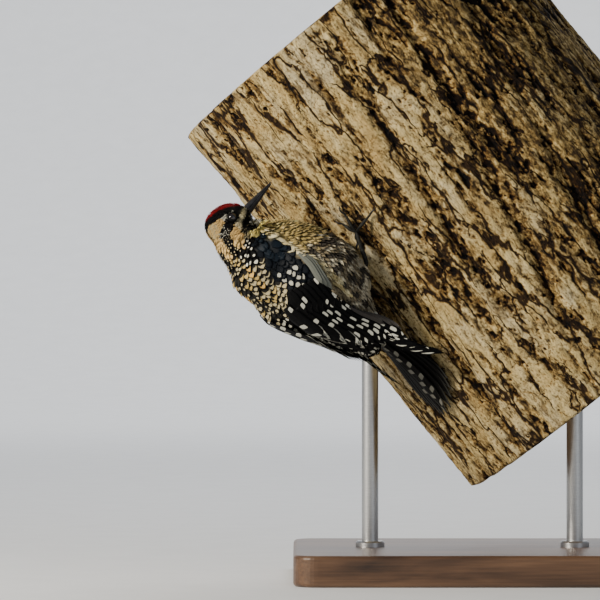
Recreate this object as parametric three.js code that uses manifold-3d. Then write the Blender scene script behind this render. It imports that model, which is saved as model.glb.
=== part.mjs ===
// A life-size yellow-bellied sapsucker clinging to a short length of leaning trunk on a display stand.
// Millimetres. +Z is up, the side the bird is seen from is -Y, and the origin is the middle of the
// underside of the stand's board.
import * as THREE from 'three';
import { mergeVertices } from 'three/addons/utils/BufferGeometryUtils.js';
import Module from 'manifold-3d';

const wasm = await Module();
wasm.setup();

const rad = THREE.MathUtils.degToRad;
const lerp = THREE.MathUtils.lerp;
const clamp = THREE.MathUtils.clamp;

// ---- driving dimensions ------------------------------------------------------------------------
const GAP = 0.3;                  // left between pieces that touch

const TRUNK_LEAN = rad(50.85);    // the trunk's axis, up from the floor and towards -X
const TRUNK_RADIUS = 108;
const TRUNK_LENGTH = 265;
const TRUNK_HEIGHT = 224;         // of the trunk's middle above the floor

const CLING_TURN = rad(41.4);     // round the trunk, from its lower edge line to the line under the bird
const BIRD_TURN = rad(32);        // of the bird's middle plane, measured the same way
const BILL_LEVEL = 78;            // of the bird's zero station, up the trunk from its middle

const BODY_RADIUS = 32.8;         // of the fluffed body at its fullest
const BREAST_AT = 13.5;           // stations down the trunk: front of the breast,
const FULLEST_AT = 60;            //   fullest section,
const VENT_AT = 127;              //   and where the body would taper to nothing
const BODY_END = 112;             // where the body stops and the tail feathers start

const HEAD_CENTRE = [2.4, -4.6, 48.6];
const HEAD_NOD = rad(-79);        // the bill points at the bark
const HEAD_TURN = rad(-4);
const HEAD_ROLL = rad(-6);
const BILL_LENGTH = 22.5;
const BILL_ROOT = 13.4;           // in front of the head's centre
const EYE_RADIUS = 2.7;
const EYE_PLACE = [9.7, 0.3, 3.0];

const WING_THICKNESS = 2.4;
const TAIL_LENGTH = 54;           // of the middle feathers past the body
const TAIL_FEATHERS = 5;          // on each side
const TARSUS_RADIUS = 1.35;
const TOE_RADIUS = 1.15;

const BOARD = { width: 210, depth: 190, thickness: 18, corner: 14, bevel: 2 };
const ROD_RADIUS = 5;
const ROD_PLACES = [-60, 60];     // along X
const ROD_SOCKET = 12;            // depth of the hole in the board and in the trunk

// ---- materials ---------------------------------------------------------------------------------
const finish = (color, roughness, metalness = 0) =>
  new THREE.MeshStandardMaterial({ color, roughness, metalness });
const RED_CROWN = finish(0x7a1016, 0.8);
const BUFF = finish(0xc9a870, 0.85);
const MOTTLED = finish(0x6d6350, 0.85);
const BLACK_FEATHER = finish(0x17171a, 0.6);
const BARRED_FEATHER = finish(0x2b2a2a, 0.65);
const HORN = finish(0x2a2a2c, 0.4);
const EYE_GLASS = finish(0x140c08, 0.05);
const SCALY_LEG = finish(0x4a4c42, 0.6);
const BARK = finish(0xa88a5e, 0.95);
const STEEL = finish(0x9a9a98, 0.35, 0.9);
const WALNUT = finish(0x4b2f1e, 0.5);

// ---- solids: joining, cutting and skinning -------------------------------------------------------
function solid(geometry) {
  const bare = geometry.clone();
  bare.deleteAttribute('normal');
  bare.deleteAttribute('uv');
  const merged = mergeVertices(bare, 1e-4);
  const vertProperties = new Float32Array(merged.attributes.position.array);
  const triVerts = new Uint32Array(merged.index.array);
  const body = new wasm.Manifold(new wasm.Mesh({ numProp: 3, vertProperties, triVerts }));
  if (body.volume() > 0) return body;
  triVerts.reverse();
  return new wasm.Manifold(new wasm.Mesh({ numProp: 3, vertProperties, triVerts }));
}

function surface(body) {
  const { vertProperties, triVerts } = body.getMesh();
  const geometry = new THREE.BufferGeometry();
  geometry.setAttribute('position', new THREE.BufferAttribute(vertProperties, 3));
  geometry.setIndex(new THREE.BufferAttribute(triVerts, 1));
  geometry.computeVertexNormals();
  return geometry;
}

// A closed skin of rings with a flat cap at each end. place(along, turn) gives the point of a ring
// at along 0..1 down the piece and turn 0..2 pi round it.
function skin(sides, rings, place) {
  const ring = (along) => Array.from({ length: sides }, (_, k) => place(along, (k / sides) * 2 * Math.PI));
  const middle = (points) => points
    .reduce((sum, point) => sum.add(point), new THREE.Vector3())
    .divideScalar(points.length);
  const rows = Array.from({ length: rings }, (_, k) => ring(k / (rings - 1)));
  rows.unshift(Array(sides).fill(middle(rows[0])));
  rows.push(Array(sides).fill(middle(rows[rings])));
  const geometry = new THREE.SphereGeometry(1, sides, rings + 1);
  const points = geometry.attributes.position;
  for (let i = 0; i < points.count; i += 1) {
    const { x, y, z } = rows[Math.floor(i / (sides + 1))][(i % (sides + 1)) % sides];
    points.setXYZ(i, x, y, z);
  }
  return geometry;
}

// A round, tapering limb along a curve, with rounded ends.
function limb(path, radiusAt, sides = 8, rows = 7) {
  const curve = new THREE.CatmullRomCurve3(path.map((p) => new THREE.Vector3(...p)));
  const side = new THREE.Vector3();
  const rise = new THREE.Vector3();
  return skin(sides, rows, (along, turn) => {
    const t = (1 - Math.cos(Math.PI * along)) / 2;
    const ahead = curve.getTangent(t);
    side.crossVectors(ahead, new THREE.Vector3(0, 0, 1)).normalize();
    rise.crossVectors(side, ahead);
    const radius = radiusAt(t) * Math.sin(Math.PI * lerp(0.05, 0.95, along)) ** 0.45;
    return curve.getPoint(t)
      .addScaledVector(side, radius * Math.cos(turn))
      .addScaledVector(rise, radius * Math.sin(turn));
  });
}

// All of space on the side of a plane that its normal points to, within the size of the object.
function halfSpace(point, normal) {
  const size = 600;
  const box = new THREE.BoxGeometry(size, size, size);
  box.translate(0, 0, size / 2);
  const facing = new THREE.Quaternion().setFromUnitVectors(
    new THREE.Vector3(0, 0, 1),
    new THREE.Vector3(...normal).normalize(),
  );
  box.applyQuaternion(facing);
  box.translate(...point);
  return solid(box);
}

// A value that follows a smooth line through a few [station, value] pairs.
function follow(pairs) {
  const line = new THREE.SplineCurve(pairs.map(([at, value]) => new THREE.Vector2(at, value)));
  const steps = line.getPoints(pairs.length * 12);
  return (at) => {
    const found = steps.findIndex((p) => p.x >= at);
    const next = found < 0 ? steps.length - 1 : Math.max(found, 1);
    const [a, b] = [steps[next - 1], steps[next]];
    return lerp(a.y, b.y, clamp((at - a.x) / (b.x - a.x), 0, 1));
  };
}

// ---- the bird's own frame: X to its right, Y up the trunk, Z out from the bark -------------------
// A station is a distance down the trunk, so it is -Y.
const upTrunk = new THREE.Vector3(-Math.cos(TRUNK_LEAN), 0, Math.sin(TRUNK_LEAN));
const lowerEdge = new THREE.Vector3(-Math.sin(TRUNK_LEAN), 0, -Math.cos(TRUNK_LEAN));
const nearSide = new THREE.Vector3(0, -1, 0);
const round = (turn) => lowerEdge.clone()
  .multiplyScalar(Math.cos(turn))
  .addScaledVector(nearSide, Math.sin(turn));

const bird = new THREE.Group();
const outward = round(BIRD_TURN);
bird.quaternion.setFromRotationMatrix(new THREE.Matrix4().makeBasis(
  new THREE.Vector3().crossVectors(upTrunk, outward),
  upTrunk,
  outward,
));
bird.position.set(0, 0, TRUNK_HEIGHT)
  .addScaledVector(upTrunk, BILL_LEVEL)
  .addScaledVector(round(CLING_TURN), TRUNK_RADIUS);

// The trunk's axis in that frame, and the height of the bark beside the bird's middle plane.
const LEAN_IN = CLING_TURN - BIRD_TURN;
const AXIS_X = -TRUNK_RADIUS * Math.sin(LEAN_IN);
const AXIS_Z = -TRUNK_RADIUS * Math.cos(LEAN_IN);
const barkHeight = (x) => AXIS_Z + Math.sqrt(TRUNK_RADIUS ** 2 - (x - AXIS_X) ** 2);

const ROOM_LENGTH = 400;
const nearBark = new THREE.CylinderGeometry(TRUNK_RADIUS + GAP, TRUNK_RADIUS + GAP, ROOM_LENGTH, 180);
nearBark.translate(AXIS_X, -BILL_LEVEL, AXIS_Z);
const barkRoom = solid(nearBark);

// ---- body ----------------------------------------------------------------------------------------
const bodyHeight = follow([[12, 34], [34, 33.5], [57, 31.3], [84, 28.4], [105, 23.2], [127, 14]]);
const bodySway = (at) => -0.0014 * Math.max(at - FULLEST_AT, 0) ** 2;
const BACK_FLATNESS = 0.9;        // the height of the back as a share of the body's radius

function bodyRadius(at) {
  if (at < FULLEST_AT) {
    const ahead = (FULLEST_AT - at) / (FULLEST_AT - BREAST_AT);
    return BODY_RADIUS * Math.max(1 - ahead ** 2, 0) ** 0.6;
  }
  const behind = Math.min((at - FULLEST_AT) / (VENT_AT - FULLEST_AT), 1);
  return BODY_RADIUS * (1 - behind ** 1.2) ** 1.15;
}

// The point at a turn from the middle of the back (towards the right), lifted off the body by lift.
function onBody(at, turn, lift = 0) {
  const radius = bodyRadius(at);
  const upper = Math.cos(turn) > 0 ? BACK_FLATNESS : 1;
  return new THREE.Vector3(
    bodySway(at) + (radius + lift) * Math.sin(turn),
    -at,
    bodyHeight(at) + (radius * upper + lift) * Math.cos(turn),
  );
}

const bodyEgg = (lift) => solid(skin(24, 14, (along, turn) => {
  const at = lerp(BREAST_AT + 0.1, BODY_END, 1 - Math.cos((Math.PI / 2) * along ** 0.9));
  const point = onBody(at, turn, lift);
  point.y += along === 0 ? lift : 0;
  return point;
}));

// ---- neck and head -------------------------------------------------------------------------------
const neckLine = new THREE.CatmullRomCurve3([
  new THREE.Vector3(0, -56, 34.6),
  new THREE.Vector3(0, -34, 42.6),
  new THREE.Vector3(0.4, -21.5, 46.6),
  new THREE.Vector3(1.2, -13.5, 50.6),
  new THREE.Vector3(2, -5, 50.6),
]);
const neckRadius = follow([[0, 24], [0.25, 26], [0.5, 22.2], [0.75, 15.2], [1, 11.5]]);
const THROAT_SHARE = 0.66;        // how far the throat side stands out, as a share of the nape side

const neckSolid = solid(skin(20, 10, (along, turn) => {
  const rise = new THREE.Vector3(1, 0, 0).cross(neckLine.getTangent(along));
  const radius = neckRadius(along);
  const share = Math.cos(turn) > 0 ? 0.98 : THROAT_SHARE;
  return neckLine.getPoint(along)
    .addScaledVector(new THREE.Vector3(1, 0, 0), radius * Math.sin(turn))
    .addScaledVector(rise, radius * share * Math.cos(turn));
}));

const headFrame = new THREE.Group();
headFrame.position.set(...HEAD_CENTRE);
headFrame.rotation.set(HEAD_NOD, HEAD_TURN, HEAD_ROLL, 'YXZ');
headFrame.updateMatrix();

// Sections of the head from nape to bill: crown, throat and half width.
const headTop = follow([
  [-14, 3], [-12.4, 9], [-9, 12.7], [-4.4, 14.3], [0, 13.9], [6, 12], [10.5, 8.6], [15, 2],
]);
const headBottom = follow([
  [-14, -1], [-12, -8], [-7, -11.8], [0, -11.4], [7, -9.2], [12, -6.6], [15, -4.4],
]);
const headHalf = follow([[-14, 2], [-12, 7.8], [-7, 11.2], [-2, 12], [5, 10.7], [10, 7.6], [15, 3]]);

const headSolid = solid(skin(20, 12, (along, turn) => {
  const at = lerp(-14, 15, (1 - Math.cos(Math.PI * along)) / 2);
  const [top, bottom] = [headTop(at), headBottom(at)];
  const lift = Math.cos(turn);
  const middle = lerp(bottom, top, 0.46);
  const half = headHalf(at) * Math.sign(Math.sin(turn)) * Math.abs(Math.sin(turn)) ** 0.92;
  return new THREE.Vector3(half, at, middle + lift * (lift > 0 ? top - middle : middle - bottom));
}).applyMatrix4(headFrame.matrix));

const inHead = (point) => new THREE.Vector3(...point).applyMatrix4(headFrame.matrix).toArray();
const alongHead = (normal) => new THREE.Vector3(...normal)
  .transformDirection(headFrame.matrix)
  .toArray();

const CHEEK_CUT = [0, -8, -3.6];
const CHEEK_NORMAL = [0, 0.69, 0.72];
const SHOULDER_CUT = [0, -20, 47.6];
const SHOULDER_NORMAL = [0, 0.8, 0.6];
const flip = (v) => v.map((value) => -value);
const shift = (p, n, by) => p.map((value, i) => value + n[i] * by);

const cheekNormal = alongHead(CHEEK_NORMAL);
const headSide = halfSpace(shift(inHead(CHEEK_CUT), cheekNormal, GAP / 2), cheekNormal);
const neckSide = halfSpace(shift(inHead(CHEEK_CUT), cheekNormal, -GAP / 2), flip(cheekNormal));
const aboveShoulder = halfSpace(shift(SHOULDER_CUT, SHOULDER_NORMAL, GAP / 2), SHOULDER_NORMAL);
const belowShoulder = halfSpace(shift(SHOULDER_CUT, SHOULDER_NORMAL, -GAP / 2), flip(SHOULDER_NORMAL));
const billFace = halfSpace(inHead([0, BILL_ROOT - GAP, 0]), alongHead([0, -1, 0]));

// ---- wings ---------------------------------------------------------------------------------------
// The folded wing is a curved plate between its upper edge, along the back, and its lower edge.
const WING_FRONT = 17;
const WING_TIP = 137;
const FAR_TIP_LIFT = 3;           // the left wing's tip rides on the tail
const LEAVES_BODY = [80, 100];    // stations where the plate goes over from the body to its own line
// On the body the edges are turns from the middle of the back, in degrees.
const upperTurn = follow([[17, 46], [24, 36], [34, 27], [48, 20], [62, 14], [80, 8], [100, 4]]);
const lowerTurn = follow([[17, 60], [24, 73], [34, 76], [48, 79], [62, 75], [80, 76], [100, 84]]);
// Behind it they are places across and out from the bark.
const upperX = follow([[78, 5], [92, 2.6], [104, 1.6], [116, 3], [127, 14], [137, 25.5]]);
const upperZ = follow([[78, 52], [92, 46.4], [104, 40.6], [116, 32], [127, 19.6], [137, 6.6]]);
const lowerX = follow([[78, 26.6], [92, 22.6], [103, 20.8], [115, 22.6], [127, 26], [137, 27.4]]);
const lowerZ = follow([[78, 34.4], [92, 25.8], [103, 18.6], [115, 13.5], [127, 8.4], [137, 5.6]]);
const wingBow = follow([[78, 4], [103, 2.6], [127, 1.4], [137, 0.2]]);

function wingPoint(at, across, lift, side, grown = 0) {
  const turn = rad(lerp(upperTurn(at), lowerTurn(at), across));
  const edge = (2 * across - 1) * 1.6 * grown;
  const onBack = onBody(at, turn + edge / (bodyRadius(at) + 4), WING_THICKNESS / 2 + GAP + lift);
  onBack.x -= bodySway(at);
  const high = new THREE.Vector2(upperX(at), upperZ(at));
  const down = new THREE.Vector2(lowerX(at), lowerZ(at)).sub(high);
  const out = new THREE.Vector2(-down.y, down.x).normalize();
  const bow = wingBow(at) * 4 * across * (1 - across);
  const behind = high.addScaledVector(down, across + edge / down.length()).addScaledVector(out, bow + lift);
  const over = THREE.MathUtils.smoothstep(at, ...LEAVES_BODY);
  const far = side < 0 ? FAR_TIP_LIFT * clamp((at - 98) / 39, 0, 1) : 0;
  const height = lerp(onBack.z, behind.y, over) + far;
  return new THREE.Vector3(side * lerp(onBack.x, behind.x, over), -at, height);
}

function wingPlate(side, thickness) {
  const grown = (thickness - WING_THICKNESS) / 2;
  return solid(skin(12, 18, (along, turn) => {
    const at = lerp(WING_FRONT, WING_TIP, (1 - Math.cos(Math.PI * along)) / 2);
    const across = (1 - Math.cos(turn)) / 2;
    const blunt = clamp(Math.sin(Math.PI * along) * 3, 0.25, 1);
    const taper = lerp(1, 0.4, clamp((at - 85) / 45, 0, 1));
    const round = Math.sign(Math.sin(turn)) * Math.abs(Math.sin(turn)) ** 0.6;
    const half = (WING_THICKNESS / 2) * taper * blunt + grown;
    const point = wingPoint(at, across, half * round, side, grown);
    point.y += grown * 0.7 * ((along === 0 ? 1 : 0) - (along === 1 ? 1 : 0));
    return point;
  }));
}

const COVERT_CUT = [0, -72, 40];
const COVERT_NORMAL = [0.3, 1, 0];
const PRIMARY_CUT = [19, -96, 31];
const PRIMARY_NORMAL = [0.62, -0.3, -0.72];

function wingPieces(side) {
  const wing = wingPlate(side, WING_THICKNESS);
  const mirrored = ([x, y, z]) => [side * x, y, z];
  const half = (point, normal, way) => halfSpace(
    shift(mirrored(point), mirrored(normal), (way * GAP) / 2),
    mirrored(normal).map((value) => way * value),
  );
  const rear = wing.intersect(half(COVERT_CUT, COVERT_NORMAL, -1));
  return {
    coverts: wing.intersect(half(COVERT_CUT, COVERT_NORMAL, 1)),
    secondaries: rear.intersect(half(PRIMARY_CUT, PRIMARY_NORMAL, -1)),
    primaries: rear.intersect(half(PRIMARY_CUT, PRIMARY_NORMAL, 1)),
  };
}

// ---- legs ----------------------------------------------------------------------------------------
const FOOT_AT = { right: 20, left: -26.5, station: 52, lift: 2.4 };
const HEEL_AT = { share: 0.9, station: 69.5, height: 6.5 };
const THIGH = { x: 14, station: 68, height: 14.5, radii: [10.5, 15, 11] };
// The toes round the foot: turn from up the trunk towards the bird's outer side, length and claw.
const TOES = [
  { name: 'inner', turn: -28, length: 10.5, claw: 6 },
  { name: 'middle', turn: 4, length: 13, claw: 6.5 },
  { name: 'outer', turn: 78, length: 13.5, claw: 6.5 },
  { name: 'hind', turn: -138, length: 7.5, claw: 5.5 },
];
const PAD_RADIUS = 2.3;
const TOE_START = 3.1;

const footX = (side) => (side > 0 ? FOOT_AT.right : FOOT_AT.left);
const footCentre = (side) => new THREE.Vector3(
  footX(side),
  -FOOT_AT.station,
  barkHeight(footX(side)) + FOOT_AT.lift,
);
const heelPoint = (side) => new THREE.Vector3(
  footX(side) * HEEL_AT.share,
  -HEEL_AT.station,
  barkHeight(footX(side)) + HEEL_AT.height + 3,
);

function shank(side) {
  const foot = footCentre(side);
  const heel = heelPoint(side).toArray();
  const middle = foot.clone().lerp(heelPoint(side), 0.5).toArray();
  const leg = solid(limb([heel, middle, foot.toArray()], () => TARSUS_RADIUS, 8, 6));
  const pad = new THREE.SphereGeometry(PAD_RADIUS, 8, 6);
  pad.translate(foot.x, foot.y, foot.z);
  return leg.add(solid(pad)).subtract(barkRoom);
}

// A point on the way along a toe, at a height over the bark under it.
function onBark(side, toe, reach, height) {
  const foot = footCentre(side);
  const turn = rad(toe.turn) * side;
  const x = foot.x + Math.sin(turn) * reach;
  return [x, foot.y + Math.cos(turn) * reach, barkHeight(x) + height];
}

function toeShape(side, toe) {
  const step = (share, height) => onBark(side, toe, lerp(TOE_START, toe.length, share), height);
  const path = [step(0, 2.4), step(0.3, 2.9), step(0.65, 2.1), step(1, 1.75)];
  const knuckled = (t) => TOE_RADIUS * (1 - 0.22 * t + 0.1 * Math.cos(t * 4 * Math.PI));
  return limb(path, knuckled, 6, 6);
}

function clawShape(side, toe) {
  const start = toe.length + GAP + 0.1;
  const step = (share, height) => onBark(side, toe, start + toe.claw * share, height);
  const path = [step(0, 1.9), step(0.3, 2.7), step(0.62, 2.3), step(0.8, 0.75)];
  return limb(path, (t) => lerp(0.95, 0.28, t), 5, 5);
}

// ---- tail ----------------------------------------------------------------------------------------
const TAIL_ROOT = { height: 15, spread: 1.5 };
const TAIL_TIP_HEIGHT = 4.4;      // of the second feather over the line under the bird
const TAIL_FAN = rad(3.6);        // between one feather and the next
const LAYER = 0.66;
const VANE_THICKNESS = 0.55;
const tailLayer = (side, rank) => (rank < 3 ? 2 * rank - (side > 0 ? 1 : 0) : rank + 2);

function tailPoint(side, rank, along, across, lift) {
  const reach = TAIL_LENGTH - 2.2 * (rank - 1) ** 1.45;
  const station = BODY_END + GAP + reach * along;
  const fan = side * TAIL_FAN * (rank - 0.5);
  const centre = bodySway(station) + side * TAIL_ROOT.spread * (rank - 0.5)
    + Math.tan(fan) * reach * along;
  const drop = (1 - along * (reach / TAIL_LENGTH)) ** 1.9;
  const height = lerp(TAIL_TIP_HEIGHT, TAIL_ROOT.height, drop) - LAYER * (tailLayer(side, rank) - 3);
  return new THREE.Vector3(centre + across, -station, height + lift);
}

function tailFeather(side, rank) {
  const half = rank > 4 ? 3.6 : 4.7;
  return skin(6, 7, (along, turn) => {
    const tip = clamp((along - 0.6) / 0.4, 0, 1);
    const width = half * lerp(0.62, 1, clamp(along * 2.4, 0, 1)) * (1 - tip ** 1.7) + 0.4;
    return tailPoint(side, rank, along, width * Math.cos(turn), (VANE_THICKNESS / 2) * Math.sin(turn));
  });
}

// ---- bill and eyes, in the head's frame ------------------------------------------------------------
const BILL_DROP = -2;             // of the bill's middle line below the head's centre

function billSolid() {
  return solid(skin(10, 7, (t, turn) => {
    const half = lerp(3.1, 0.75, t ** 0.85);
    const high = lerp(2.75, 0.55, t ** 1.1);
    return new THREE.Vector3(
      half * Math.cos(turn),
      BILL_ROOT + BILL_LENGTH * t,
      BILL_DROP + 0.4 * (1 - t) + high * Math.sin(turn),
    );
  }));
}

function billPieces() {
  const bill = billSolid();
  const gape = [0, 0, BILL_DROP - 0.1];
  return {
    upper: bill.intersect(halfSpace(shift(gape, [0, 0, 1], GAP / 2), [0, 0, 1])),
    lower: bill
      .intersect(halfSpace(shift(gape, [0, 0, 1], -GAP / 2), [0, 0, -1]))
      .intersect(halfSpace([0, BILL_ROOT + BILL_LENGTH - 0.8, 0], [0, -1, 0])),
  };
}

const eyePlace = (side) => [side * EYE_PLACE[0], EYE_PLACE[1], EYE_PLACE[2]];

function eyeSocket(side) {
  const ball = new THREE.SphereGeometry(EYE_RADIUS + GAP, 10, 8);
  ball.translate(...inHead(eyePlace(side)));
  return solid(ball);
}

// ---- trunk and stand -------------------------------------------------------------------------------
// Long furrows between plates of bark. They come in two sets, each with so many round the trunk.
// They sway and slant as they run up it, fade out here and there, and cross.
const FURROWS = [
  { count: 13, sway: 1, slant: 0, width: 9, strength: 0.9, fade: 40, turns: 3, start: 0 },
  { count: 14, sway: -1, slant: 1 / 60, width: 9, strength: 0.8, fade: 33, turns: -2, start: 1 },
];
const FURROW_DEPTH = 3.2;
const FADING = 0.7;
const SWAYS = [{ size: 1, length: 70, turns: 2 }, { size: 0.4, length: 35, turns: 5 }];

function barkFurrow(turn, up) {
  const sway = SWAYS.reduce((sum, s) => sum + s.size * Math.sin(up / s.length + s.turns * turn), 0);
  const depths = FURROWS.map((set) => {
    const phase = set.count * turn + set.sway * sway + set.slant * up;
    const off = Math.abs(Math.sin(phase / 2)) * 2 * (TRUNK_RADIUS / set.count);
    const kept = set.strength + FADING * Math.sin(up / set.fade + set.turns * turn + set.start);
    return clamp(kept, 0, 1) * (0.5 + 0.5 * Math.cos(Math.PI * Math.min(off / set.width, 1)));
  });
  return FURROW_DEPTH * Math.max(...depths);
}

function rodPlace(x) {
  const [lean, half] = [TRUNK_LEAN, TRUNK_LENGTH / 2];
  const under = TRUNK_HEIGHT - half * Math.sin(lean) - TRUNK_RADIUS * Math.cos(lean);
  const cornerX = half * Math.cos(lean) - TRUNK_RADIUS * Math.sin(lean);
  const slope = x > cornerX ? 1 / Math.tan(lean) : Math.tan(lean);
  return { bottom: BOARD.thickness - ROD_SOCKET, top: under + Math.abs(x - cornerX) * slope + ROD_SOCKET };
}

function rodShape(x, grown = 0) {
  const { bottom, top } = rodPlace(x);
  const radius = ROD_RADIUS + grown;
  const rod = new THREE.CylinderGeometry(radius, radius, top - bottom + 2 * grown, 14);
  rod.rotateX(Math.PI / 2);
  rod.translate(x, 0, (bottom + top) / 2);
  return rod;
}

function trunkSolid() {
  const log = new THREE.CylinderGeometry(TRUNK_RADIUS, TRUNK_RADIUS, TRUNK_LENGTH, 94, 10);
  const points = log.attributes.position;
  for (let i = 0; i < points.count; i += 1) {
    const point = new THREE.Vector3().fromBufferAttribute(points, i);
    const reach = Math.hypot(point.x, point.z);
    if (reach < 1) continue;
    const kept = (reach - barkFurrow(Math.atan2(point.z, point.x), point.y)) / reach;
    points.setXYZ(i, point.x * kept, point.y, point.z * kept);
  }
  log.applyQuaternion(new THREE.Quaternion().setFromUnitVectors(new THREE.Vector3(0, 1, 0), upTrunk));
  log.translate(0, 0, TRUNK_HEIGHT);
  return ROD_PLACES.reduce((left, x) => left.subtract(solid(rodShape(x, GAP))), solid(log));
}

function boardSolid() {
  const { width, depth, thickness, corner, bevel } = BOARD;
  const [w, d, c] = [width / 2 - bevel, depth / 2 - bevel, corner];
  const outline = new THREE.Shape();
  outline.moveTo(-w + c, -d);
  outline.lineTo(w - c, -d);
  outline.absarc(w - c, -d + c, c, -Math.PI / 2, 0);
  outline.absarc(w - c, d - c, c, 0, Math.PI / 2);
  outline.absarc(-w + c, d - c, c, Math.PI / 2, Math.PI);
  outline.absarc(-w + c, -d + c, c, Math.PI, 1.5 * Math.PI);
  const board = new THREE.ExtrudeGeometry(outline, {
    depth: thickness - 2 * bevel,
    bevelThickness: bevel,
    bevelSize: bevel,
    bevelSegments: 1,
    curveSegments: 3,
  });
  board.translate(0, 0, bevel);
  return ROD_PLACES.reduce((left, x) => left.subtract(solid(rodShape(x, GAP))), solid(board));
}

// ---- the object --------------------------------------------------------------------------------------
const object = new THREE.Group();
object.add(bird);

function add(group, name, shape, material) {
  const geometry = surface(shape instanceof THREE.BufferGeometry ? solid(shape) : shape);
  const mesh = new THREE.Mesh(geometry, material);
  mesh.name = name;
  group.add(mesh);
  return mesh;
}

const SIDES = [['right', 1], ['left', -1]];

const wideEgg = bodyEgg(GAP);

function thighSolid(side) {
  const fluff = new THREE.SphereGeometry(1, 12, 8);
  fluff.scale(...THIGH.radii);
  fluff.translate(side * THIGH.x, -THIGH.station, THIGH.height);
  return solid(fluff);
}

function buildBody() {
  const wingRoom = SIDES.map(([, side]) => wingPlate(side, WING_THICKNESS + 3 * GAP));
  const clear = (body, rooms) => rooms.reduce((left, room) => left.subtract(room), body);
  const torso = bodyEgg(0).add(neckSolid.intersect(belowShoulder));
  add(bird, 'torso', clear(torso, [barkRoom, ...wingRoom]), MOTTLED);
  const upper = headSolid.add(neckSolid).intersect(aboveShoulder).subtract(wideEgg);
  const neck = upper.intersect(neckSide);
  add(bird, 'neck', clear(neck, wingRoom), BUFF);
  const sockets = SIDES.map(([, side]) => eyeSocket(side));
  const head = upper.intersect(headSide).intersect(billFace);
  add(bird, 'head', clear(head, sockets), RED_CROWN);
}

function buildLegs() {
  for (const [name, side] of SIDES) {
    const leg = shank(side);
    const wings = wingPlate(side, WING_THICKNESS + 3 * GAP);
    const heel = heelPoint(side).toArray();
    const middle = heelPoint(side).lerp(footCentre(side), 0.5).toArray();
    const ends = [shift(heel, [0, -1, 0], GAP), middle, footCentre(side).toArray()];
    const room = solid(limb(ends, () => TARSUS_RADIUS + 2 * GAP, 8, 6));
    const thigh = thighSolid(side).subtract(wideEgg).subtract(barkRoom).subtract(wings).subtract(room);
    add(bird, `thigh_${name}`, thigh, MOTTLED);
    add(bird, `shank_${name}`, leg.subtract(wideEgg), SCALY_LEG);
    for (const toe of TOES) {
      add(bird, `toe_${name}_${toe.name}`, toeShape(side, toe), SCALY_LEG);
      add(bird, `claw_${name}_${toe.name}`, clawShape(side, toe), HORN);
    }
  }
}

function buildWings() {
  for (const [name, side] of SIDES) {
    const wing = wingPieces(side);
    add(bird, `wing_${name}_coverts`, wing.coverts, BLACK_FEATHER);
    add(bird, `wing_${name}_secondaries`, wing.secondaries, BARRED_FEATHER);
    add(bird, `wing_${name}_primaries`, wing.primaries, BLACK_FEATHER);
  }
}

function buildTail() {
  for (const [name, side] of SIDES) {
    for (let rank = 1; rank <= TAIL_FEATHERS; rank += 1) {
      const colour = rank === 1 ? BARRED_FEATHER : BLACK_FEATHER;
      add(bird, `tail_${name}_${rank}`, tailFeather(side, rank), colour);
    }
  }
}

function buildFace() {
  const bill = billPieces();
  bird.add(headFrame);
  add(headFrame, 'bill_upper', bill.upper, HORN);
  add(headFrame, 'bill_lower', bill.lower, HORN);
  for (const [name, side] of SIDES) {
    const eye = add(headFrame, `eye_${name}`, new THREE.SphereGeometry(EYE_RADIUS, 10, 7), EYE_GLASS);
    eye.position.set(...eyePlace(side));
  }
}

function buildStand() {
  add(object, 'perch_trunk', trunkSolid(), BARK);
  add(object, 'stand_board', boardSolid(), WALNUT);
  ROD_PLACES.forEach((x, i) => add(object, `stand_rod_${i + 1}`, rodShape(x), STEEL));
}

buildBody();
buildWings();
buildLegs();
buildTail();
buildFace();
buildStand();

export default object;
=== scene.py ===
"""A life-size yellow-bellied sapsucker on a short length of leaning trunk, held up on a display stand.

Metres, +Z up. The bird's own pieces are worked out in millimetres in the bird's frame: X to its right,
Y up the trunk, Z out from the bark. A station is a distance down the trunk, so it is -Y.
"""

import math

import bpy
import bmesh
import numpy as np
from mathutils import Matrix, Vector, noise
from mathutils.bvhtree import BVHTree


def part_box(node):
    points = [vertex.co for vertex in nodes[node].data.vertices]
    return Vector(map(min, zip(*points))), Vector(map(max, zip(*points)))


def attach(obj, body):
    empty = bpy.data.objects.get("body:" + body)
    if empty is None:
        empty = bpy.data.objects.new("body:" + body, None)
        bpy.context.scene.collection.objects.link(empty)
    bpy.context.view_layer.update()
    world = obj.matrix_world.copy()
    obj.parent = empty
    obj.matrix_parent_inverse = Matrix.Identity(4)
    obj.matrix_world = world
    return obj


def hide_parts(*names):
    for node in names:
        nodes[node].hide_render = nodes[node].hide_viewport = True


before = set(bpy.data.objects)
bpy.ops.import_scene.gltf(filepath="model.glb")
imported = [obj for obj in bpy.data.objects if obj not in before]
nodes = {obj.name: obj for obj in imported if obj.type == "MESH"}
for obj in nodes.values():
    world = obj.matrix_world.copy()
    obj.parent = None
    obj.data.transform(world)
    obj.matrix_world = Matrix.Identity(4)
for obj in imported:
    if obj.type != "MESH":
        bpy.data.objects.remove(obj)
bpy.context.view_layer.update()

# ---- Stand: board --------------------------------------------------------------------------------
# A flat board of dark oiled wood with rounded corners and a softened edge. The rods' lower ends
# reach down into it.


def node(tree, kind, values=None, **settings):
    """Adds a shader node. A value that is another node's output is linked, any other is set."""
    made = tree.nodes.new("ShaderNode" + kind)
    for name, value in settings.items():
        setattr(made, name, value)
    for name, value in (values or {}).items():
        if isinstance(value, Amount):
            value = value.socket
        if isinstance(value, bpy.types.NodeSocket):
            tree.links.new(value, made.inputs[name])
        else:
            made.inputs[name].default_value = value
    return made


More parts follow.
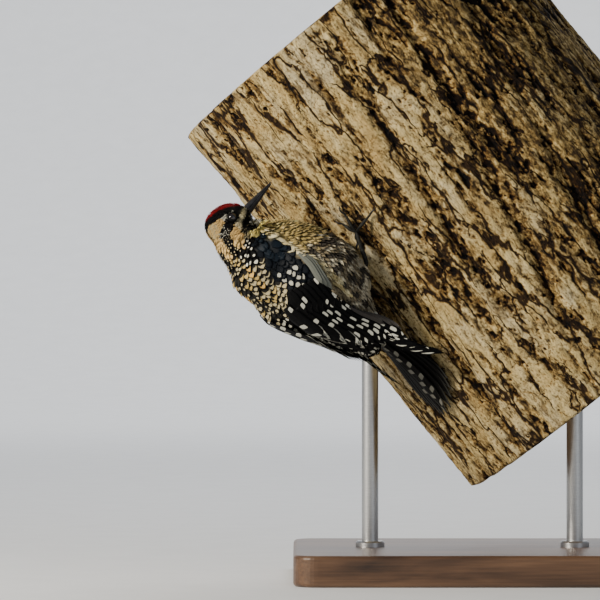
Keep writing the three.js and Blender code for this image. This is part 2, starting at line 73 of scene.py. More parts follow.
def ramp(tree, amount, stops):
    """A colour that goes through the (place, colour) stops as the amount grows from 0 to 1."""
    made = node(tree, "ValToRGB", {"Fac": amount})
    elements = made.color_ramp.elements
    while len(elements) < len(stops):
        elements.new(0.5)
    for element, (place, colour) in zip(elements, stops):
        element.position = place
        element.color = (*colour, 1)
    return made.outputs["Color"]


def mixed(tree, amount, first, second, way="MIX"):
    made = node(tree, "Mix", {0: amount}, data_type="RGBA", blend_type=way)
    for socket, value in ((made.inputs[6], first), (made.inputs[7], second)):
        if isinstance(value, bpy.types.NodeSocket):
            tree.links.new(value, socket)
        else:
            socket.default_value = (*value, 1)
    return made.outputs[2]


def maths(operation, *values):
    """Works out a number from others, of which at least one is a shader's."""
    tree = next(value.socket.id_data for value in values if isinstance(value, Amount))
    return Amount(node(tree, "Math", dict(enumerate(values)), operation=operation).outputs[0])


class Amount:
    """A number in a shader. Sums, products and powers of it add the nodes that work them out."""

    def __init__(self, socket):
        self.socket = socket

    def __add__(self, other):
        return maths("ADD", self, other)

    def __sub__(self, other):
        return maths("SUBTRACT", self, other)

    def __rsub__(self, other):
        return maths("SUBTRACT", other, self)

    def __mul__(self, other):
        return maths("MULTIPLY", self, other)

    def __truediv__(self, other):
        return maths("DIVIDE", self, other)

    def __pow__(self, other):
        return maths("POWER", self, other)

    def __abs__(self):
        return maths("ABSOLUTE", self)


def cloud(tree, place, detail, scale=1, **more):
    """A soft noise, from 0 to 1."""
    values = {"Vector": place, "Scale": scale, "Detail": detail, **more}
    return Amount(node(tree, "TexNoise", values).outputs["Fac"])


def finish(name, roughness=0.5, **settings):
    """A new material: the material, its node tree and its Principled shader."""
    material = bpy.data.materials.new(name)
    material.use_nodes = True
    shader = material.node_tree.nodes["Principled BSDF"]
    shader.inputs["Roughness"].default_value = roughness
    for socket, value in settings.items():
        shader.inputs[socket.replace("_", " ")].default_value = value
    return material, material.node_tree, shader


def bumped(tree, shader, height, distance, strength=1.0):
    bump = node(tree, "Bump", {"Height": height, "Distance": distance, "Strength": strength})
    tree.links.new(bump.outputs["Normal"], shader.inputs["Normal"])


def position(tree, scale=(1, 1, 1), turn=(0, 0, 0)):
    """The place on the object, turned and then stretched."""
    place = node(tree, "TexCoord").outputs["Object"]
    turned = node(tree, "Mapping", {"Vector": place, "Rotation": turn}).outputs["Vector"]
    return node(tree, "Mapping", {"Vector": turned, "Scale": scale}).outputs["Vector"]


def add_piece(name, mesh, material, replaced=()):
    piece = bpy.data.objects.new(name, mesh)
    bpy.context.scene.collection.objects.link(piece)
    mesh.materials.append(material)
    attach(piece, "root")
    if replaced:
        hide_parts(*replaced)
    return piece


def smoothed(mesh):
    mesh.polygons.foreach_set("use_smooth", np.ones(len(mesh.polygons), bool))
    return mesh


def walnut():
    material, tree, shader = finish("oiled_walnut", 0.38, Coat_Weight=0.15, Coat_Roughness=0.3)
    bend = cloud(tree, position(tree, (3, 26, 26)), 6, 2.2, Distortion=0.9)
    grain = cloud(tree, position(tree, (9, 260, 260)), 4, 3)
    wood = ramp(tree, grain * 0.35 + bend, [
        (0.42, (0.022, 0.011, 0.006)), (0.6, (0.075, 0.037, 0.018)), (0.85, (0.15, 0.078, 0.038)),
    ])
    tree.links.new(wood, shader.inputs["Base Color"])
    bumped(tree, shader, grain, 0.0003, 0.5)
    return material


CORNER = 0.014
SOFT_EDGE = 0.0022
board_low, board_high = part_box("stand_board")
board_form = bmesh.new()
bmesh.ops.create_cube(board_form, size=1)
board_form.transform(
    Matrix.Translation((board_low + board_high) / 2) @ Matrix.Diagonal((*(board_high - board_low), 1))
)
upright = [e for e in board_form.edges if abs(e.verts[0].co.z - e.verts[1].co.z) > 0.001]
bmesh.ops.bevel(board_form, geom=upright, offset=CORNER, segments=10, affect="EDGES", profile=0.5)
rims = [e for e in board_form.edges if abs(e.verts[0].co.z - e.verts[1].co.z) < 0.0001]
bmesh.ops.bevel(board_form, geom=rims, offset=SOFT_EDGE, segments=4, affect="EDGES", profile=0.5)
board_mesh = bpy.data.meshes.new("stand_board_oiled")
board_form.to_mesh(board_mesh)
board_form.free()
add_piece("stand_board_oiled", board_mesh, walnut(), ["stand_board"])

# ---- Stand: rods ---------------------------------------------------------------------------------
# Two round bars of brushed steel. Each has a low collar where it leaves the board, and runs up
# into the underside of the trunk.

ROD_SIDES = 48
COLLAR_RADIUS = 0.0085
COLLAR_HEIGHT = 0.0035


def mesh_from(name, points, faces):
    mesh = bpy.data.meshes.new(name)
    mesh.from_pydata(np.asarray(points, float).tolist(), [], [tuple(f) for f in faces])
    mesh.validate()
    return mesh


def turned_solid(profile, sides):
    """A closed solid turned about Z from (radius, height) pairs, with a flat cap at each end."""
    points = []
    faces = []
    for radius, height in profile:
        for k in range(sides):
            turn = 2 * math.pi * k / sides
            points.append((radius * math.cos(turn), radius * math.sin(turn), height))
    for row in range(len(profile) - 1):
        for k in range(sides):
            ahead = (k + 1) % sides
            faces.append((
                row * sides + k, row * sides + ahead, (row + 1) * sides + ahead, (row + 1) * sides + k,
            ))
    faces.append(tuple(range(sides))[::-1])
    last = (len(profile) - 1) * sides
    faces.append(tuple(range(last, last + sides)))
    return np.array(points), faces


def brushed_steel():
    material, tree, shader = finish("brushed_steel", 0.34, Metallic=1.0)
    lines = cloud(tree, position(tree, (300, 300, 9000)), 2)
    tone = ramp(tree, lines, [(0.3, (0.46, 0.46, 0.46)), (0.7, (0.62, 0.62, 0.61))])
    rough = lines * 0.25 + 0.22
    tree.links.new(tone, shader.inputs["Base Color"])
    tree.links.new(rough.socket, shader.inputs["Roughness"])
    bumped(tree, shader, lines, 0.00005, 0.4)
    return material


steel = brushed_steel()
for rod_name in ("stand_rod_1", "stand_rod_2"):
    rod_low, rod_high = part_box(rod_name)
    rod_radius = (rod_high.x - rod_low.x) / 2
    top_of_board = board_high.z
    rod_points, rod_faces = turned_solid([
        (rod_radius, rod_low.z),
        (rod_radius, top_of_board),
        (COLLAR_RADIUS, top_of_board),
        (COLLAR_RADIUS, top_of_board + COLLAR_HEIGHT * 0.75),
        (COLLAR_RADIUS * 0.9, top_of_board + COLLAR_HEIGHT),
        (rod_radius, top_of_board + COLLAR_HEIGHT),
        (rod_radius, rod_high.z),
    ], ROD_SIDES)
    rod_points[:, :2] += ((rod_low.x + rod_high.x) / 2, (rod_low.y + rod_high.y) / 2)
    rod_mesh = mesh_from(rod_name + "_brushed", rod_points, rod_faces)
    rod_mesh.shade_smooth()
    rod_mesh.set_sharp_from_angle(angle=math.radians(35))
    add_piece(rod_name + "_brushed", rod_mesh, steel, [rod_name])

# ---- Perch: the length of trunk ------------------------------------------------------------------
# A cut length of hardwood trunk with thick furrowed bark: long flaky plates between dark fissures
# that run with the grain, and a sawn face with growth rings at each end.

TRUNK_LEAN = math.radians(50.85)
TRUNK_RADIUS = 0.108
TRUNK_LENGTH = 0.265
TRUNK_MIDDLE = Vector((0, 0, 0.224))
BARK_SIDES = 700
BARK_ROWS = 280
# Two sets of long furrows: how many round the trunk, wander, slant, half width in millimetres, then
# how strong the set is, over what length it fades, and how that turns and starts. The narrow
# crevices between them follow the same list.
FURROWS = (
    (13, 1.0, 0.0, 9.0, 0.9, 40, 3, 0),
    (14, -1.0, 1 / 60, 9.0, 0.8, 33, -2, 1),
)
FURROW_DEPTH = 3.2
FADING = 0.7
CREVICES = (
    (31, 2.6, 1 / 50, 4.4, 0.65, 14, 5, 2),
    (43, -2.2, -1 / 45, 3.4, 0.5, 11, -7, 4),
)
CREVICE_DEPTH = 1.1
POCKET_WIDTH = 2.28
POCKET_LENGTH = 6.45
POCKET_DEPTH = 1.9
# The side of the trunk where most of the outer plates have come off, leaving more pockets, and where the
# bark is painted browner and darker as shade.
WORN_AND_SHADED_SIDE = math.radians(213)

UP_TRUNK = Vector((-math.cos(TRUNK_LEAN), 0, math.sin(TRUNK_LEAN)))
LOWER_EDGE = Vector((-math.sin(TRUNK_LEAN), 0, -math.cos(TRUNK_LEAN)))
NEAR_SIDE = Vector((0, -1, 0))


def round_trunk(turn):
    """The way straight out from the axis at a turn from the trunk's lower edge to its near side."""
    return LOWER_EDGE * math.cos(turn) + NEAR_SIDE * math.sin(turn)


def furrow(turn, up, sets):
    """How deep the furrows are, from 0 to 1. The solid has the same main ones."""
    wander = math.sin(up / 70 + 2 * turn) + 0.4 * math.sin(up / 35 + 5 * turn)
    deepest = 0.0
    for count, sway, slant, width, strength, fade, turns, start in sets:
        wave = abs(math.sin((count * turn + sway * wander + slant * up) / 2))
        off = wave * 2000 * TRUNK_RADIUS / count
        kept = min(max(strength + FADING * math.sin(up / fade + turns * turn + start), 0), 1)
        deepest = max(deepest, kept * (0.5 + 0.5 * math.cos(math.pi * min(off / width, 1))))
    return deepest


def bark_relief(turn, up):
    """How far the bark lies below its highest ridges in millimetres, how brown it is (painted
    browner and darker as shade on one side), and how far inside a dark pocket, at a turn round the
    trunk and a height in millimetres up it."""
    x, y = 1000 * TRUNK_RADIUS * math.cos(turn), 1000 * TRUNK_RADIUS * math.sin(turn)
    fray = noise.noise(Vector((x / 6, y / 6, up / 9)))
    nick = noise.noise(Vector((x / 2.2, y / 2.2, up / 3.5)))
    about = turn - TRUNK_LEAN - math.pi / 2
    bend = noise.noise(Vector((x / 20, y / 20, up / 30)))
    main = furrow(about + (1.4 * fray + 2 * bend) / (1000 * TRUNK_RADIUS), up, FURROWS)
    narrow = furrow(about + (1.6 * fray + 0.8 * nick) / (1000 * TRUNK_RADIUS), up + 3 * fray, CREVICES)
    broken = noise.noise(Vector((x / 9, y / 9, up / 16)) + Vector((7, 3, 5)))
    low = max(main * (0.85 + 0.5 * broken), 0.75 * narrow)
    torn = noise.fractal(Vector((x / POCKET_WIDTH, y / POCKET_WIDTH, up / POCKET_LENGTH)), 0.8, 2.1, 4)
    # the worn side: more pockets in the relief, and painted shade that turns the bark browner and darker
    # there
    worn = min(max((math.cos(turn - WORN_AND_SHADED_SIDE) - 0.5) / 0.4, 0.0), 1.0)
    pocket = min(max((torn - 0.72 + 0.92 * low + 0.24 * worn) / 0.3, 0.0), 1.0)
    close, middles = noise.voronoi(Vector((
        x / 6.5 + 0.5 * fray + bend, y / 6.5 - 0.5 * fray - bend, up / 17 + 0.3 * fray,
    )))
    step = noise.noise(middles[0] * 7.3)
    edge = max(0.0, 1 - (close[1] - close[0]) / 0.12)
    lumps = noise.fractal(Vector((x / 3.2, y / 3.2, up / 4.5)), 0.6, 2.1, 4)
    deep = FURROW_DEPTH * main + CREVICE_DEPTH * narrow + POCKET_DEPTH * pocket
    deep += 0.55 * (step + 0.3) + 0.3 * edge - (0.2 + 0.5 * low) * lumps
    # browner in the furrows and at plate edges; the worn side's term is painted shade
    brown = 0.8 * low + 0.25 * edge + 0.35 * lumps * low + 0.2 * step + worn * (0.65 + 0.5 * bend)
    return deep, min(max(brown, 0.0), 1.0), min(max(pocket + 0.2 * edge, 0.0), 1.0)


def trunk_log():
    points = []
    browns = []
    pockets = []
    across = LOWER_EDGE.cross(UP_TRUNK)
    for row in range(BARK_ROWS):
        along = TRUNK_LENGTH * (row / (BARK_ROWS - 1) - 0.5)
        rounding = 0.0016 if row in (0, BARK_ROWS - 1) else 0
        for k in range(BARK_SIDES):
            turn = 2 * math.pi * k / BARK_SIDES
            depth, brown, pocket = bark_relief(turn, along * 1000)
            reach = TRUNK_RADIUS - max(depth, 0.0) * 0.001 - rounding
            way = LOWER_EDGE * math.cos(turn) + across * math.sin(turn)
            points.append(TRUNK_MIDDLE + UP_TRUNK * along + way * reach)
            browns.append(brown)
            pockets.append(pocket)
    bark = np.array(points).reshape(BARK_ROWS, BARK_SIDES, 3)
    shares = np.linspace(1, 0, 26)[1:-1]
    rings = []
    for end in (0, BARK_ROWS - 1):
        centre = bark[end].mean(0)
        rings.append([centre + (bark[end] - centre) * share for share in shares])
        rings[-1].append(centre[None])
    points = np.concatenate([bark.reshape(-1, 3)] + [ring for end in rings for ring in end])
    faces = []
    for row in range(BARK_ROWS - 1):
        for k in range(BARK_SIDES):
            ahead = (k + 1) % BARK_SIDES
            here, over = row * BARK_SIDES, (row + 1) * BARK_SIDES
            faces.append((here + k, here + ahead, over + ahead, over + k))
    bark_faces = len(faces)
    start = BARK_ROWS * BARK_SIDES
    for end in (0, 1):
        outer = 0 if end == 0 else (BARK_ROWS - 1) * BARK_SIDES
        for _ in shares:
            for k in range(BARK_SIDES):
                ahead = (k + 1) % BARK_SIDES
                quad = (outer + k, start + k, start + ahead, outer + ahead)
                faces.append(quad if end == 0 else quad[::-1])
            outer, start = start, start + BARK_SIDES
        for k in range(BARK_SIDES):
            ahead = (k + 1) % BARK_SIDES
            spoke = (outer + k, start, outer + ahead)
            faces.append(spoke if end == 0 else spoke[::-1])
        start += 1
    mesh = mesh_from("perch_trunk_bark", points, faces)
    for name, shades in (("Brown", browns), ("Pocket", pockets)):
        values = np.zeros(len(points), np.float32)
        values[:len(shades)] = shades
        mesh.attributes.new(name, "FLOAT", "POINT").data.foreach_set("value", values)
    slots = np.zeros(len(faces), np.int32)
    slots[bark_faces:] = 1
    mesh.polygons.foreach_set("material_index", slots)
    return smoothed(mesh)


def furrowed_bark():
    material, tree, shader = finish("furrowed_bark", 0.92, Specular_IOR_Level=0.2)

    def grained(across, up):
        """The place on the bark, stretched by one scale across the grain and another along it."""
        return position(tree, (across, across, up), (0, math.pi / 2 - TRUNK_LEAN, 0))

    brown = Amount(node(tree, "Attribute", attribute_name="Brown").outputs["Fac"])
    pocket = Amount(node(tree, "Attribute", attribute_name="Pocket").outputs["Fac"])
    blotch = cloud(tree, grained(60, 24), 5, Distortion=0.5)
    fibre = cloud(tree, grained(380, 170), 6, Roughness=0.7)
    grit = cloud(tree, grained(900, 600), 4, Roughness=0.65)
    flake = cloud(tree, grained(210, 62), 5, Roughness=0.6, Distortion=0.6)
    plates = ramp(tree, blotch, [
        (0.36, (0.45, 0.33, 0.14)), (0.46, (0.53, 0.42, 0.2)), (0.56, (0.57, 0.47, 0.26)),
        (0.68, (0.46, 0.41, 0.28)),
    ])
    crumbs = ramp(tree, fibre, [
        (0.4, (0.07, 0.048, 0.024)), (0.48, (0.22, 0.145, 0.05)), (0.57, (0.42, 0.3, 0.115)),
        (0.66, (0.56, 0.45, 0.23)),
    ])
    share = ramp(tree, (0.5 - fibre) * 1.6 + brown, [(0.2, (0, 0, 0)), (0.55, (1, 1, 1))])
    bark = mixed(tree, share, plates, crumbs)
    # wear, flakes and pits, then the shadow down in the pockets
    for strength, amount, stops in (
        (0.8, fibre, [(0.36, (0.5, 0.44, 0.36)), (0.5, (0.95, 0.94, 0.92)), (0.64, (1.2, 1.18, 1.15))]),
        (0.8, flake, [(0.38, (0.3, 0.23, 0.15)), (0.45, (0.86, 0.83, 0.78)), (0.6, (1.12, 1.1, 1.06))]),
        (0.85, grit, [(0.35, (0.17, 0.13, 0.09)), (0.45, (0.88, 0.86, 0.82)), (0.6, (1.12, 1.11, 1.08))]),
        (1.0, (0.5 - grit) * 1.2 + pocket, [
            (0.1, (1, 1, 1)), (0.35, (0.66, 0.54, 0.38)), (0.6, (0.2, 0.13, 0.08)),
            (0.85, (0.035, 0.022, 0.015)),
        ]),
    ):
        bark = mixed(tree, strength, bark, ramp(tree, amount, stops), "MULTIPLY")
    # thin dark cracks between long plates, wider in some places and closed in others
    sway = node(tree, "TexNoise", {"Vector": grained(130, 60), "Scale": 1, "Detail": 3}).outputs["Color"]
    bent = node(tree, "VectorMath", {0: grained(88, 15), 1: sway}, operation="ADD").outputs["Vector"]
    cells = node(tree, "TexVoronoi", {"Vector": bent, "Scale": 1}, feature="DISTANCE_TO_EDGE")
    wide = (cloud(tree, grained(75, 30), 3) - 0.4) * 0.55
    seam = maths("MINIMUM", Amount(cells.outputs["Distance"]) / maths("MAXIMUM", wide, 0.004), 1.0)
    crack = ramp(tree, seam, [(0.35, (0.05, 0.032, 0.02)), (0.7, (0.62, 0.53, 0.4)), (1.0, (1, 1, 1))])
    tree.links.new(mixed(tree, 1.0, bark, crack, "MULTIPLY"), shader.inputs["Base Color"])
    bumped(tree, shader, grit * 0.45 + fibre + flake * 1.2 + seam * 0.7, 0.0018)
    return material


def sawn_wood():
    """Growth rings round the middle of the trunk, with a dark rind under the bark."""
    material, tree, shader = finish("sawn_wood", 0.8)
    flat = node(tree, "VectorMath", {
        0: node(tree, "TexCoord").outputs["Object"], 1: tuple(-TRUNK_MIDDLE),
    }, operation="ADD").outputs["Vector"]
    lean = (0, math.pi / 2 - TRUNK_LEAN, 0)
    straight = node(tree, "Mapping", {"Vector": flat, "Rotation": lean}).outputs["Vector"]
    turned = node(tree, "Mapping", {"Vector": straight, "Scale": (1, 1, 0)}).outputs["Vector"]
    reach = Amount(node(tree, "VectorMath", {0: turned}, operation="LENGTH").outputs["Value"])
    year = maths("SINE", reach * 2600 + cloud(tree, turned, 3, 22) * 9)
    tone = year * 0.16 + (cloud(tree, turned, 3, 900) * 0.35 + 0.3)
    wood = ramp(tree, tone, [
        (0.2, (0.28, 0.17, 0.085)), (0.5, (0.45, 0.3, 0.16)), (0.8, (0.56, 0.41, 0.25)),
    ])
    rind = ramp(tree, reach * (1 / TRUNK_RADIUS), [
        (0.3, (0.7, 0.6, 0.5)), (0.5, (1, 1, 1)), (0.885, (1, 1, 1)), (0.9, (0.32, 0.2, 0.12)),
    ])
    tree.links.new(mixed(tree, 1.0, wood, rind, "MULTIPLY"), shader.inputs["Base Color"])
    bumped(tree, shader, tone, 0.0004, 0.5)
    return material


trunk_mesh = trunk_log()
add_piece("perch_trunk_bark", trunk_mesh, furrowed_bark(), ["perch_trunk"])
trunk_mesh.materials.append(sawn_wood())

# ---- Bird: skin ----------------------------------------------------------------------------------
# The skin of the head, neck, body, thighs and front of both wings, as one surface under the
# feathers. It is grown over the solids it stands for, smoothed, drawn in by the depth of the
# coat, and painted with the same markings as the feathers.

PERCH_PLACE = 0.078
CLING_TURN = math.radians(41.4)
BIRD_TURN = math.radians(32)
HEAD_CENTRE = (2.4, -4.6, 48.6)
HEAD_NOD = math.radians(-79)
HEAD_TURN = math.radians(-4)
HEAD_ROLL = math.radians(-6)
BILL_ROOT = 13.4
FULLEST_AT = 60.0
FLESH = (
    "torso", "neck", "head", "thigh_right", "thigh_left", "wing_right_coverts", "wing_left_coverts",
)
SEAM_FILL = 0.0003
SKIN_GRID = 0.00095
HEAD_COAT = 0.9
BODY_COAT = 1.9
WING_COAT = 0.9

outward = round_trunk(BIRD_TURN)
BIRD_AXES = np.array([UP_TRUNK.cross(outward), UP_TRUNK, outward])
BIRD_PLACE = np.array(TRUNK_MIDDLE + UP_TRUNK * PERCH_PLACE + round_trunk(CLING_TURN) * TRUNK_RADIUS)
HEAD_AXES = np.array(
    Matrix.Rotation(HEAD_TURN, 3, "Y")
    @ Matrix.Rotation(HEAD_NOD, 3, "X")
    @ Matrix.Rotation(HEAD_ROLL, 3, "Z")
)

RED = (0.36, 0.002, 0.008)
BLACK = (0.002, 0.002, 0.0023)
# black with a painted blue sheen
BLACK_WITH_PAINTED_SHEEN = (0.0014, 0.003, 0.0058)
CREAM = (0.45, 0.38, 0.22)
SOOT = (0.012, 0.011, 0.009)
WHITE = (0.57, 0.56, 0.47)
GOLD = (0.45, 0.32, 0.11)
BUFF = (0.6, 0.41, 0.16)
OLIVE_GOLD = (0.36, 0.27, 0.09)
DRAB = (0.22, 0.18, 0.11)
GREY_BROWN = (0.085, 0.07, 0.052)
YELLOW = (0.92, 0.8, 0.3)


def to_world(points):
    return np.asarray(points, float) * 0.001 @ BIRD_AXES + BIRD_PLACE


def to_bird(points):
    return (np.asarray(points, float) - BIRD_PLACE) @ BIRD_AXES.T * 1000


def to_head(points):
    return (np.asarray(points, float) - HEAD_CENTRE) @ HEAD_AXES


def from_head(points):
    return np.asarray(points, float) @ HEAD_AXES.T + HEAD_CENTRE


def follow(pairs):
    """A value that follows a smooth line through a few (place, value) pairs."""
    pairs = np.array(pairs, float)
    knots = np.vstack([pairs[:1], pairs, pairs[-1:]])
    t = np.linspace(0, 1, 12, endpoint=False)[:, None]
    line = []
    for a, b, c, d in zip(knots, knots[1:], knots[2:], knots[3:]):
        bend = 2 * a - 5 * b + 4 * c - d + t * (3 * b - a - 3 * c + d)
        line.append(b + 0.5 * t * (c - a + t * bend))
    line = np.concatenate(line + [pairs[-1:]])
    return lambda at: np.interp(at, line[:, 0], line[:, 1])


def smooth(value, low, high):
    share = np.clip((value - low) / (high - low), 0, 1)
    return share * share * (3 - 2 * share)


body_height = follow([(12, 34), (34, 33.5), (57, 31.3), (84, 28.4), (105, 23.2), (127, 14)])


def body_sway(at):
    return -0.0014 * np.maximum(at - FULLEST_AT, 0) ** 2


def body_place(points):
    """The station of points of the bird, and their turn from the middle of the back, in degrees."""
    at = -points[:, 1]
    turn = np.degrees(np.arctan2(points[:, 0] - body_sway(at), points[:, 2] - body_height(at)))
    return at, turn


def cheek_side(head):
    """How far points of the head's frame lie in front of the slanting edge behind the cheeks."""
    return 0.69 * (head[:, 1] + 8) + 0.72 * (head[:, 2] + 3.6)


def on_head(points):
    """1 for points of the bird that belong to the head, falling to 0 behind the cheeks."""
    return smooth(cheek_side(to_head(points)), -1.2, 1.2) * (-points[:, 1] < 16)


class Paint:
    """The colours and pattern of the feathers at some points: what they are under, what is drawn
    on them, how large the spot is, and how strong the chevron and the rim are."""

    def __init__(self, count):
        self.ground = np.tile(np.array(DRAB, float), (count, 1))
        self.mark = np.tile(np.array(BLACK, float), (count, 1))
        self.shape = np.zeros((count, 3))

    def lay(self, where, ground, mark=BLACK, spot=0.0, chevron=0.0, rim=0.0):
        self.ground[where] = ground
        self.mark[where] = mark
        self.shape[where] = (spot, chevron, rim)


# Tracts of the body: stations, turns on the right side, the colours under and in the markings, how
# strong spot, chevron and rim are, and the share of feathers that have the spot.
TRACTS = [
    # mantle: black middle line, gold scales, cream scapulars
    ((0, 200), (-60, 2), SOOT, CREAM, 0.62, 0, 0, 0.7),
    ((0, 70), (2, 24), SOOT, GOLD, 0.75, 1, 0, 1),
    ((26, 76), (24, 42), SOOT, CREAM, 0.75, 0.9, 0, 0.8),
    ((18, 30), (20, 48), BLACK, WHITE, 0.85, 0, 0, 0.55),
    # lesser and median coverts: glossy, black with a painted blue sheen that is lighter at the shoulder,
    # spots only along their rear edge
    ((20, 90), (40, 68), BLACK_WITH_PAINTED_SHEEN, BLACK_WITH_PAINTED_SHEEN, 0, 0, 0, 1),
    # painted blue sheen, lighter at the shoulder
    ((20, 38), (46, 66), (0.0034, 0.008, 0.014), (0.45, 0.45, 0.4), 0.7, 0, 0, 0.13),
    ((38, 60), (42, 64), BLACK_WITH_PAINTED_SHEEN, (0.42, 0.41, 0.34), 0.9, 0, 0, 0.42),
    # rump
    ((64, 104), (-60, 30), BLACK, WHITE, 1.0, 0, 0, 0.65),
    ((98, 200), (-60, 84), BLACK, WHITE, 0.8, 0, 0, 0.4),
    # breast, flank and belly
    ((0, 48), (74, 181), OLIVE_GOLD, GREY_BROWN, 0, 0.8, 0.15, 1),
    ((12, 24), (60, 112), (0.54, 0.45, 0.19), GREY_BROWN, 0, 0.2, 0, 1),
    ((20, 60), (135, 181), (0.5, 0.43, 0.2), GREY_BROWN, 0, 0.25, 0, 1),
    ((42, 92), (78, 181), DRAB, GREY_BROWN, 0, 0.85, 0.1, 1),
    ((56, 112), (128, 181), (0.5, 0.44, 0.3), GREY_BROWN, 0, 0.2, 0, 1),
    ((92, 200), (84, 181), WHITE, GREY_BROWN, 0, 0.7, 0, 1),
]


def paint_body(paint, at, turn, chance):
    bend = 6 * (1 - smooth(np.abs(turn), 25, 45))
    across = np.where(turn < -6, np.abs(turn + bend) - bend, turn)
    soft_at = at + (chance[:, 0] - 0.5) * 3
    across = across + (chance[:, 1] - 0.5) * 5
    light = chance[:, 2]
    for (first, last), (low, high), ground, mark, spot, chevron, rim, share in TRACTS:
        where = (soft_at >= first) & (soft_at < last) & (across >= low) & (across < high)
        paint.lay(where, ground, mark, spot, chevron, rim)
        paint.shape[where, 0] *= (light[where] < share) * (0.8 + 0.4 * light[where] / share)
    # creamier, rustier and blacker scales among the gold ones
    mantle = (soft_at < 70) & (across > 2) & (across < 24)
    paint.mark[mantle & ((light > 0.62) | (at > 56))] = CREAM
    paint.mark[mantle & (at > 27) & (at < 48) & (light < 0.2)] = (0.58, 0.36, 0.1)
    paint.lay(mantle & (light > 0.5) & (light < 0.62), SOOT, CREAM, 0.9, 0, 0)
    # broken pale and dark in the flanks, and a buffier breast
    flank = (soft_at > 38) & (soft_at < 98) & (across > 80) & (across < 140)
    patch = np.sin(at * 0.62 + 2.0 * np.sin(turn * 0.1)) * np.sin(turn * 0.16 + at * 0.14)
    patch = patch + 0.8 * (light - 0.5)
    paint.ground[flank & (patch > 0.3)] = (0.5, 0.45, 0.33)
    paint.ground[flank & (patch > 0.6)] = (0.66, 0.6, 0.43)
    paint.ground[flank & (patch < -0.3)] = (0.045, 0.04, 0.033)
    breast = (soft_at < 46) & (across > 74)
    paint.ground[breast & (light > 0.72)] = (0.55, 0.42, 0.17)
    # the cream edge where the breast laps over the wing's edge
    edge_low = np.interp(at, [18, 24, 40, 60, 76], [60, 66, 71, 74, 80])
    edge = (at > 16) & (at < 78) & (across > edge_low) & (across < edge_low + np.where(at < 50, 9, 11))
    paint.lay(edge, (0.68, 0.6, 0.36))
    paint.ground[edge & (light > 0.7)] = (0.55, 0.45, 0.22)


def paint_neck(paint, at, turn, chance, where):
    side = turn + (chance[:, 0] - 0.5) * 4
    across = np.abs(side)
    near = where & (at < 20 + (chance[:, 1] - 0.5) * 3)
    dice = chance[:, 2]
    paint.lay(near & (across < 14), BUFF, BLACK, 0, 0, 0.15)
    paint.lay(near & (at > 13) & (side < 1), BLACK, CREAM, 0.5, 0, 0)
    paint.lay(near & (across >= 14) & (across < 23), BLACK, CREAM, 0.5, 0, 0)
    paint.lay(near & (across >= 23) & (across < 35), BUFF, BLACK, 0, 0, 0.25)
    paint.lay(near & (at < 17) & (across >= 35) & (across < 50), BLACK, CREAM, 0.9, 0, 0)
    paint.lay(near & (at < 18) & (across >= 50) & (across < 62), BLACK, (0.5, 0.43, 0.2), 0.9, 0, 0)
    paint.lay(near & (at < 15) & (across >= 62), BLACK, YELLOW, 0.7, 0, 0)
    paint.ground[near & (at < 17) & (across >= 35) & (dice > 0.75)] = CREAM
    gold = where & (at > 12.5) & (at < 19) & (across > 43) & (across < 112)
    paint.lay(gold, YELLOW)


# Edges of the head's stripes: how far round from the crown, at places from the nape to the bill.
RED_EDGE = follow([(-9, -5), (-5, 20), (3, 35), (14, 60)])
BROW_TOP = follow([(-12, 5), (-6, 45), (5, 60)])
BROW_FOOT = follow([(-12, 75), (-6, 65), (5, 60)])
CHEEK_TOP = follow([(-12, 105), (-5, 95), (5, 85), (13, 70)])
CHEEK_FOOT = follow([(-10, 125), (0, 110), (12, 100)])
THROAT_TOP = 128.0


def paint_head(paint, head, chance, where):
    reach = head[:, 1]
    round_ = np.degrees(np.arctan2(np.abs(head[:, 0]), head[:, 2])) + (chance[:, 0] - 0.5) * 3.0
    dice = chance[:, 1]

    def band(low, high):
        return where & (round_ >= low) & (round_ < high)

    red, brow_top, brow_foot = RED_EDGE(reach), BROW_TOP(reach), BROW_FOOT(reach)
    cheek_top, cheek_foot = CHEEK_TOP(reach), CHEEK_FOOT(reach)
    paint.lay(band(-9, red), RED, (0.12, 0.001, 0.003), 0, 0, 0.4)
    paint.lay(band(red, brow_top), BLACK)
    brow = band(brow_top, brow_foot)
    paint.lay(brow, WHITE)
    paint.lay(brow & (reach < -4.5), BUFF)
    paint.lay(brow & (reach < -8) & (dice > 0.6), CREAM)
    patch = band(np.maximum(brow_foot, np.where(reach > 5.5, brow_top, 0)), cheek_top)
    paint.lay(patch, BLACK)
    paint.lay(patch & (reach < -6.5) & (dice > 0.35), BLACK, WHITE, 0.9, 0, 0)
    stripe = band(cheek_top, cheek_foot)
    paint.lay(stripe, (0.62, 0.55, 0.36), GREY_BROWN, 0, 0.15, 0)
    paint.lay(stripe & (reach > 3), (0.8, 0.74, 0.5), GREY_BROWN, 0, 0.1, 0)
    paint.lay(stripe & (reach < -3), BUFF, GREY_BROWN, 0, 0.1, 0)
    malar = band(cheek_foot, THROAT_TOP)
    paint.lay(malar, BLACK)
    paint.lay(malar & (dice > 0.5), BLACK, CREAM, 0.9, 0, 0)
    throat = band(THROAT_TOP, 181)
    paint.lay(throat, WHITE, BLACK, 0, 0.3, 0)
    paint.lay(throat & (dice > 0.6), BLACK, YELLOW, 0.6, 0, 0)


def markings(points, chance):
    """The paint at points of the bird. chance holds three random numbers for each."""
    at, turn = body_place(points)
    paint = Paint(len(points))
    paint_body(paint, at, turn, chance)
    paint_neck(paint, at, turn, chance, (at < 22) & (np.abs(turn) < 110))
    paint_head(paint, to_head(points), chance, on_head(points) > 0.5)
    return paint


def solid_of(names):
    """One mesh form with the solids of these nodes, their doubled vertices merged."""
    form = bmesh.new()
    for name in names:
        form.from_mesh(nodes[name].data)
    bmesh.ops.remove_doubles(form, verts=form.verts, dist=1e-6)
    bmesh.ops.recalc_face_normals(form, faces=form.faces)
    return form


